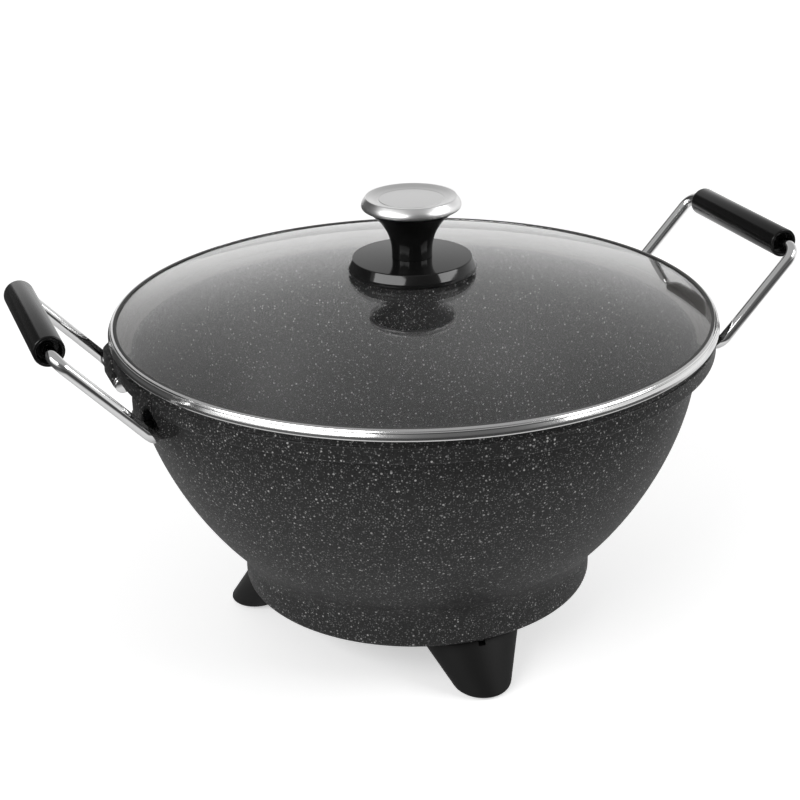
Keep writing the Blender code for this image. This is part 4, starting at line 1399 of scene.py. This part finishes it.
@dataclass
class Lid:
    """The domed glass, the metal band that is rolled round its edge, and a black ring under the
    band's lip.
    """

    rim_z: float = 0.196
    lid_r: float = 0.180
    band_t: float = 0.0009
    band_waist: float = 0.0026
    band_lean: float = 0.0017
    band_foot_w: float = 0.002
    band_dip: float = 0.0001
    lip: float = 0.0032
    dark_ring_w: float = 0.0017
    dark_ring_gap: float = 0.0001
    dark_ring_h: Point = (0.0007, 0.0010)
    glass_t: float = 0.0035
    ground_edge: float = 0.0008
    dome_rise: float = 0.0256
    dome_steps: int = 22
    hole_r: float = 0.0042
    steps: int = 192

    @property
    def glass_r(self) -> float:
        """The glass's radius inside the band."""
        return self.lid_r - self.band_t - GAP

    def top(self, radius: float) -> float:
        """Height of the glass over the worktop at a radius.

        Args:
            radius: The distance from the lid's axis.

        Returns:
            The height of the glass's upper face.
        """
        sphere = (self.glass_r ** 2 + self.dome_rise ** 2) / (2 * self.dome_rise)
        sag = sphere - math.sqrt(sphere ** 2 - radius ** 2)
        edge = self.band_t + GAP + self.glass_t
        return self.rim_z + edge + self.dome_rise - sag

    def glass(self) -> Piece:
        """Turn the dome, with a ground edge and a ground hole.

        Returns:
            The glass.
        """
        reach = self.glass_r - self.hole_r
        steps = range(self.dome_steps + 1)
        radii = [self.hole_r + reach * step / self.dome_steps for step in steps]
        upper = [Corner(radius, self.top(radius)) for radius in radii]
        lower = [Corner(radius, self.top(radius) - self.glass_t) for radius in reversed(radii)]
        edge_z = self.top(self.glass_r)
        upper[-1] = Corner(self.glass_r, edge_z, self.ground_edge)
        lower[0] = Corner(self.glass_r, edge_z - self.glass_t, self.ground_edge)
        return BENCH.turned("glass_dome", rounded([*upper, *lower], 3), self.steps, closed=True)

    def band(self) -> Piece:
        """Turn the band: a foot under the glass, a wall round it and a lip over it.

        Returns:
            The band.
        """
        lip_r = self.lid_r - self.lip
        foot_r = lip_r - self.dark_ring_w
        wall_in = self.lid_r - self.band_t
        lip_z = self.top(lip_r) + GAP
        edge_z = self.top(self.glass_r) + GAP
        thick = self.band_t
        outline = rounded((
            Corner(foot_r + self.band_foot_w, self.rim_z + thick),
            Corner(foot_r, self.rim_z + thick, 0.0003),
            Corner(foot_r, self.rim_z, 0.0003),
            Corner(self.lid_r, self.rim_z, 0.0015),
            Corner(self.lid_r, self.rim_z + self.band_waist, 0.0022),
            Corner(self.lid_r - self.band_lean, edge_z + thick - self.band_dip, 0.0010),
            Corner(lip_r, lip_z + thick, 0.0004),
            Corner(lip_r, lip_z, 0.0002),
            Corner(wall_in, edge_z, 0.0005),
            Corner(wall_in, self.rim_z + thick, 0.0004),
        ), 6)
        return BENCH.turned("rim_band", outline, self.steps, closed=True)

    def ring(self) -> Piece:
        """Turn the black ring that shows as a dark line between the band's lip and the glass.

        Returns:
            The ring.
        """
        outer = self.lid_r - self.lip - self.dark_ring_gap
        inner = outer - self.dark_ring_w
        middle = inner + self.dark_ring_w / 2
        inner_h, outer_h = self.dark_ring_h
        outline = rounded((
            Corner(middle, self.top(middle) + self.dark_ring_gap),
            Corner(outer, self.top(outer) + self.dark_ring_gap, 0.0001),
            Corner(outer, self.top(outer) + outer_h, 0.0003),
            Corner(inner, self.top(inner) + inner_h, 0.0004),
            Corner(inner, self.top(inner) + self.dark_ring_gap, 0.0001),
        ), 4)
        return BENCH.turned("dark_ring", outline, self.steps, closed=True)

    def build(self) -> None:
        """Make and dress the lid's three pieces."""
        carry(self.glass(), GLASS, "lid", "clear_glass", "lid_glass")
        carry(self.band(), BAND_STEEL, "lid", "polished_steel", "lid_rim_band")
        carry(self.ring(), DARK_RING_FINISH, "lid", "rubber", "lid_rim_band")


@dataclass
class Knob:
    """The lid's knob: a round base, a waisted stem and a satin cap."""

    lid: Lid
    base_r: float = 0.0380
    base_top_r: float = 0.0353
    base_foot_r: float = 0.0363
    base_h: float = 0.0086
    base_edge: Point = (0.0378, 0.0034)
    base_lip_h: float = 0.0015
    crown: float = 0.0003
    gasket_r: float = 0.0279
    gasket_h: float = 0.0016
    dome_h: float = 0.0012
    screw_r: float = 0.0028
    stem_r: float = 0.0270
    stem_h: float = 0.0305
    bore_share: float = 0.6
    cap_r: float = 0.0293
    cap_h: float = 0.0068
    cap_lip: float = 0.0014
    dish_share: float = 0.765
    dish_rise: Point = (0.0002, 0.00015)
    dish_groove: float = 0.0002
    cap_t: float = 0.0011
    steps: int = 96
    stem_top_shares: Sequence[Point] = ((0.985, 1.0), (1.0, 0.985), (1.0, 0.970))
    stem_shares: Sequence[Point] = (
        (0.970, 0.938), (0.922, 0.892), (0.856, 0.839), (0.774, 0.774), (0.700, 0.708),
        (0.607, 0.590), (0.528, 0.462), (0.481, 0.341), (0.454, 0.230), (0.443, 0.115),
        (0.441, -0.007),
    )
    disc_shares: Place = (0.40, 0.64, 0.655)
    groove_shares: Point = (0.646, 0.656)
    crest_shares: Sequence[Point] = (
        (0.670, 0.765), (0.760, 0.825), (0.850, 0.950), (0.902, 1.000),
    )
    side_shares: Sequence[Point] = (
        (0.909, 0.985), (0.955, 0.715), (0.984, 0.500), (1.000, 0.265), (0.990, 0.100),
        (0.962, 0.000),
    )

    @property
    def seat(self) -> float:
        """Where the base's foot stands on the glass."""
        return self.lid.top(self.base_foot_r) + GAP

    @property
    def stem_z(self) -> float:
        """Where the stem stands on the base."""
        return self.seat + self.base_h + self.crown + GAP

    def base(self) -> Piece:
        """Turn the round base.

        Returns:
            The base.
        """
        top = self.seat + self.base_h
        pocket_r = self.gasket_r + GAP
        glass_z = self.lid.top(self.gasket_r)
        under = glass_z + self.gasket_h
        outline = rounded((
            Corner(self.screw_r, top + self.crown),
            Corner(self.base_top_r, top, 0.0009),
            Corner(self.base_edge[0], self.seat + self.base_edge[1], 0.0008),
            Corner(self.base_r, self.seat + self.base_lip_h, 0.0005),
            Corner(self.base_foot_r, self.seat, 0.0004),
            Corner(pocket_r, glass_z + GAP),
            Corner(pocket_r, under),
            Corner(self.screw_r, under + self.dome_h),
        ), 6)
        return BENCH.turned("knob_foot", outline, self.steps, closed=True)

    def stem(self) -> Piece:
        """Turn the stem with its flowing waist.

        Returns:
            The stem.
        """
        top, waist = (
            [(r * self.stem_r, h * self.stem_h) for r, h in shares]
            for shares in (self.stem_top_shares, self.stem_shares)
        )
        bore_h = self.stem_h * self.bore_share
        under = [(self.screw_r, 0.0), (self.screw_r, bore_h), (0.0, bore_h)]
        outline = [(0.0, self.stem_h), *top, *flowing(waist), *under]
        outline = [(r, z + self.stem_z) for r, z in outline]
        return BENCH.turned("knob_stem", outline, self.steps)

    def cap(self) -> Piece:
        """Turn the satin cap: a slightly dished disc in a rounded rim.

        Returns:
            The cap.
        """
        low = self.stem_z + self.stem_h - self.cap_lip
        inner = self.stem_r + GAP
        dish = self.dish_share * self.cap_h
        sunk = dish - self.dish_groove
        ceiling = dish - self.cap_t
        flat, disc, hollow = (share * self.cap_r for share in self.disc_shares)
        middle_rise, flat_rise = self.dish_rise
        top = [
            (0.0, dish + middle_rise), (flat, dish + flat_rise), (disc, dish),
            *((share * self.cap_r, sunk) for share in self.groove_shares),
        ]
        crest, side = (
            flowing([(r * self.cap_r, h * self.cap_h) for r, h in shares])
            for shares in (self.crest_shares, self.side_shares)
        )
        inside = [(inner, 0.0), (inner, self.cap_lip + GAP), (hollow, ceiling), (0.0, ceiling)]
        outline = [(r, z + low) for r, z in [*top, *crest, *side, *inside]]
        return BENCH.turned("knob_top", outline, self.steps)

    def build(self) -> None:
        """Make and dress the knob."""
        carry(self.base(), KNOB_PLASTIC, "lid", "gloss_black", "knob_base")
        carry(self.stem(), KNOB_PLASTIC, "lid", "gloss_black", "knob_body")
        carry(self.cap(), CAP_STEEL, "lid", "satin_steel", "knob_cap")
        SILICONE.dress_nodes("knob_upper_gasket", "knob_lower_gasket")
        NICKEL.dress_nodes("knob_washer", "knob_screw")


@dataclass
class Legs:
    """The three moulded legs and the soft pads under them."""

    pan: Pan
    foot_x: float = 0.1055
    foot_r: float = 0.0162
    foot_z: float = 0.001
    foot_round: float = 0.003
    top_x: float = 0.082
    top_z: float = 0.0317
    half_x: float = 0.0195
    half_y: float = 0.0325
    notch: Place = (0.006, 0.0042, 0.0045)
    notch_back: float = 0.0045
    pad_r: float = 0.0115
    pad_t: float = 0.003
    overrun: float = 0.002
    leg_sides: int = 64
    pad_sides: int = 48
    foot_steps: int = 5
    ring_shares: Point = (0.78, 0.48)
    ring_depth: float = 0.0005
    ring_widths: Place = (0.0003, 0.0011, 0.0014)

    def leg(self) -> Piece:
        """Draw a round foot up into a wide oval top, round its foot and notch its top.

        Returns:
            The leg, at positive X.
        """
        BENCH.put_down()
        height = self.top_z - self.foot_z
        bpy.ops.mesh.primitive_cylinder_add(
            vertices=self.leg_sides, radius=self.foot_r, depth=height,
            location=(self.foot_x, 0.0, self.foot_z + height / 2),
        )
        leg = BENCH.named("leg")
        with BENCH.editing(leg):
            BENCH.pick(leg, lambda place, _: place.z > self.top_z - BENCH.NEAR, Element.VERT)
            middle = (self.foot_x, 0.0, self.top_z)
            stretch = (self.half_x / self.foot_r, self.half_y / self.foot_r, 1.0)
            bpy.ops.transform.resize(value=stretch, center_override=middle)
            bpy.ops.transform.translate(value=(self.top_x - self.foot_x, 0.0, 0.0))
            BENCH.pick(
                leg,
                lambda place, along: place.z < self.foot_z + BENCH.NEAR
                and abs(along.z) < BENCH.LEVEL,
                Element.EDGE,
            )
            bpy.ops.mesh.bevel(
                offset=self.foot_round, segments=self.foot_steps, affect="EDGES"
            )
        BENCH.smoothed(leg)
        deep, wide, high = self.notch
        outside = self.pan.skirt_r
        low = (outside - self.notch_back - deep, -wide / 2, self.top_z - high)
        notch = BENCH.block("notch", low, (outside, wide / 2, self.top_z + self.overrun))
        BENCH.worked(leg, notch, Cut.AWAY)
        ends = (-self.overrun, self.pad_t + GAP)
        recess = BENCH.peg("recess", self.pad_r + GAP, *ends, self.pad_sides)
        BENCH.moved(recess, Matrix.Translation((self.foot_x, 0.0, 0.0)))
        return BENCH.smoothed(BENCH.worked(leg, recess, Cut.AWAY))

    def pad(self) -> Piece:
        """Turn a pad with two gripping rings moulded in its sole.

        Returns:
            The pad.
        """
        sole = [Corner(self.pad_r, self.pad_t), Corner(self.pad_r, 0.0, 0.0006)]
        near, far, end = self.ring_widths
        for share in self.ring_shares:
            radius = self.pad_r * share
            sole += [
                Corner(radius, 0.0, 0.0001), Corner(radius - near, self.ring_depth, 0.0001),
                Corner(radius - far, self.ring_depth, 0.0001), Corner(radius - end, 0.0, 0.0001),
            ]
        outline = rounded([Corner(0.0, self.pad_t), *sole, Corner(0.0, 0.0)], 3)
        pad = BENCH.turned("pad", outline, self.pad_sides)
        return BENCH.moved(pad, Matrix.Translation((self.foot_x, 0.0, 0.0)))

    def build(self) -> None:
        """Make one leg and one pad, and copy them round the base."""
        leg, pad = self.leg(), self.pad()
        for label, angle in LEG_ANGLES.items():
            turn = about_z(angle)
            one = BENCH.copied(leg, f"moulded_leg_{label}", turn)
            sole = BENCH.copied(pad, f"sole_{label}", turn)
            carry(one, LEG_PLASTIC, "base", "black_plastic", f"leg_{label}")
            carry(sole, RUBBER, "base", "rubber", f"foot_pad_{label}")
            NICKEL.dress_nodes(f"leg_screw_{label}")
        BENCH.drop(leg, pad)


@dataclass
class Base:
    """What closes the skirt: cover, reflector, heater, contacts and the thermostat's socket."""

    half: float = 0.022
    back_y: float = 0.090
    front_y: float = 0.122
    low_z: float = 0.0348
    high_z: float = 0.052
    wall: float = 0.0025
    back_wall: float = 0.003
    edge: float = 0.0006
    flange_l: float = 0.012
    flange_in: float = 0.0008
    flange_lap: float = 0.0015
    flange_edge: float = 0.0004

    def socket(self) -> Piece:
        """Mould the socket: a block, hollowed from its front, with a flange behind.

        Returns:
            The socket.
        """
        low = (-self.half, self.back_y, self.low_z)
        housing = BENCH.block("socket_housing", low, (self.half, self.front_y, self.high_z))
        with BENCH.editing(housing):
            BENCH.pick(housing, lambda _, normal: normal.y > BENCH.FACING, Element.FACE)
            bpy.ops.mesh.inset(thickness=self.wall, depth=0.0)
            deep = self.front_y - self.back_y - self.back_wall
            bpy.ops.mesh.extrude_region_move(TRANSFORM_OT_translate={"value": (0.0, -deep, 0.0)})
            BENCH.tidy()
        BENCH.rounded_off(housing, self.edge)
        flange = BENCH.block(
            "flange",
            (self.flange_in - self.half, self.back_y - self.flange_l, self.low_z),
            (self.half - self.flange_in, self.back_y + self.flange_lap, self.low_z + self.wall),
            self.flange_edge,
        )
        return BENCH.smoothed(BENCH.worked(housing, flange, Cut.JOIN))

    def build(self) -> None:
        """Make the socket and dress everything under the pan."""
        carry(self.socket(), LEG_PLASTIC, "base", "black_plastic", "inlet_housing")
        LEG_PLASTIC.dress_nodes("base_cover")
        SHEET_STEEL.dress_nodes("heat_reflector")
        SHEATH.dress_nodes("heating_element")
        NICKEL.dress_nodes(
            "terminal_pin_left", "terminal_pin_right", "probe_sleeve", "earth_clip",
            "inlet_screw_left", "inlet_screw_right",
            *(f"cover_screw_{number}" for number in (1, 2, 3)),
        )


# The studio

@dataclass(frozen=True)
class Softbox:
    """A square of soft light."""

    name: str
    place: Place
    size: Point
    power: float

    def hang(self, target: Vector) -> None:
        """Hang the light so that it faces a point.

        Args:
            target: The point that it lights.
        """
        bpy.ops.object.light_add(type="AREA", location=self.place)
        lamp = bpy.context.object
        lamp.name = self.name
        lamp.data.shape = "RECTANGLE"
        lamp.data.size, lamp.data.size_y = self.size
        lamp.data.energy = self.power
        aim = (target - Vector(self.place)).to_track_quat("-Z", "Y")
        lamp.rotation_euler = aim.to_euler()


@dataclass(frozen=True)
class Studio:
    """A white sweep, soft lights and the camera of the photograph.

    What the wok's shiny faces mirror differs from what the eye sees: the floor in front is dark
    there, a dark flag stands at the back left, and it is dark behind the camera. A pair with
    distance, reach, facing or air in its name holds where such a place starts and its soft edge.
    """

    eye: Place = (-0.34197, -0.89730, 0.55626)
    azimuth: float = 69.666
    elevation: float = -23.336
    roll: float = -1.184
    lens: float = 77.31
    sensor: float = 36.0
    floor_size: float = 16.0
    floor_z: float = -0.0002
    floor_level: float = 0.86
    dark_level: float = 0.03
    front_distance: Point = (0.36, 0.14)
    front_reach: Point = (-0.15, 0.20)
    behind_reach: Point = (-0.10, -0.40)
    behind_glow: float = 0.35
    flag_azimuth: float = 134.0
    flag_facing: Point = (0.77, 0.04)
    flag_distance: Point = (0.38, 0.06)
    flag_in_air: Point = (0.78, 0.03)
    flag_share: float = 0.90
    near_white: float = 0.50
    far_white: float = 0.40
    far_distance: Point = (1.1, 1.4)
    shade_azimuth: float = -92.0
    around: Sequence[Point] = ((0.0, 0.46), (0.80, 0.42), (0.915, 0.14), (1.0, 0.05))
    by_height: Sequence[Point] = ((0.09, 1.0), (0.39, 0.62), (0.71, 0.42))
    open_side: Sequence[Point] = ((0.80, 1.0), (0.915, 0.30), (1.0, 0.10))
    target: Place = (0.0, 0.0, 0.15)
    boxes: Sequence[Softbox] = (
        Softbox("left_box", (-1.47, -0.64, 1.15), (1.85, 0.60), 19.0),
        Softbox("right_box", (1.29, -0.95, 1.15), (1.25, 0.60), 13.0),
    )

    def set_camera(self) -> None:
        """Stand the camera where the photograph was taken from."""
        data = bpy.data.cameras.new("camera")
        data.lens = self.lens
        data.sensor_width = self.sensor
        camera = bpy.data.objects.new("camera", data)
        bpy.context.scene.collection.objects.link(camera)
        camera.matrix_world = (
            Matrix.Translation(self.eye)
            @ about_z(self.azimuth - 90)
            @ Matrix.Rotation(math.radians(90 + self.elevation), 4, "X")
            @ about_z(self.roll)
        )
        bpy.context.scene.camera = camera

    def lay_floor(self) -> None:
        """Lay the pale floor, which keeps the wok's shadow and looks white to the eye."""
        BENCH.put_down()
        bpy.ops.mesh.primitive_plane_add(size=self.floor_size, location=(0.0, 0.0, self.floor_z))
        floor = BENCH.named("floor")
        material = bpy.data.materials.new("pale_floor")
        material.use_nodes = True
        sheet = Sheet(material.node_tree)
        x, y, _ = sheet.parted(sheet.place())
        distance = (x * x + y * y) ** 0.5
        camera_way = Vector(self.eye).xy.normalized()
        reach = x * camera_way.x + y * camera_way.y
        flag_way = level_way(self.flag_azimuth)
        facing = (x * flag_way.x + y * flag_way.y) / distance
        mirrored = sheet.seen_by(Ray.GLOSSY)
        front = distance.past(*self.front_distance) * reach.past(*self.front_reach) * mirrored
        flagged = facing.past(*self.flag_facing) * distance.past(*self.flag_distance) * mirrored
        behind = reach.past(*self.behind_reach) * mirrored
        white = self.near_white + distance.past(*self.far_distance) * self.far_white
        glow = behind * (1.0 - flagged) * self.behind_glow
        dimmed = (front + flagged).clamped()
        sheet.feed(material.node_tree.nodes["Principled BSDF"], {
            "Base Color": sheet.blend(dimmed, gray(self.floor_level), gray(self.dark_level)),
            "Roughness": 0.6,
            "Emission Color": sheet.seen_by(Ray.CAMERA) * white + glow,
            "Emission Strength": 1.0,
        })
        floor.data.materials.append(material)

    def light(self) -> None:
        """Hang the soft lights in a studio that is dark only behind the camera."""
        for box in self.boxes:
            box.hang(Vector(self.target))
        world = bpy.data.worlds.new("studio")
        world.use_nodes = True
        bpy.context.scene.world = world
        sheet = Sheet(world.node_tree)
        way = sheet.add("ShaderNodeTexCoord", {}, {}, "Generated")
        side = sheet.toward(way, self.shade_azimuth) * 0.5 + 0.5
        _, _, up = sheet.parted(way)
        around, by_height, open_side = (
            sheet.ramp(share, *((place, gray(level)) for place, level in stops))
            for share, stops in ((side, self.around), (up, self.by_height), (side, self.open_side))
        )
        flag = sheet.toward(way, self.flag_azimuth).past(*self.flag_in_air)
        mirror = by_height * open_side * (1.0 - flag * self.flag_share)
        shining = sheet.blend(sheet.seen_by(Ray.GLOSSY), around, mirror)
        seen = sheet.blend(sheet.seen_by(Ray.CAMERA), shining, gray(1.0))
        sheet.feed(world.node_tree.nodes["Background"], {"Color": seen})
        bpy.context.scene.view_settings.view_transform = "Standard"


def main() -> None:
    """Build the wok and its studio."""
    logging.basicConfig(level=logging.INFO, format="%(name)s: %(message)s")
    studio = Studio()
    studio.set_camera()
    pan = Pan()
    pan.build()
    for side in Side:
        Handle(side, pan).build()
    lid = Lid()
    lid.build()
    Knob(lid).build()
    Legs(pan).build()
    Base().build()
    studio.lay_floor()
    studio.light()


if __name__ == "__main__":
    main()
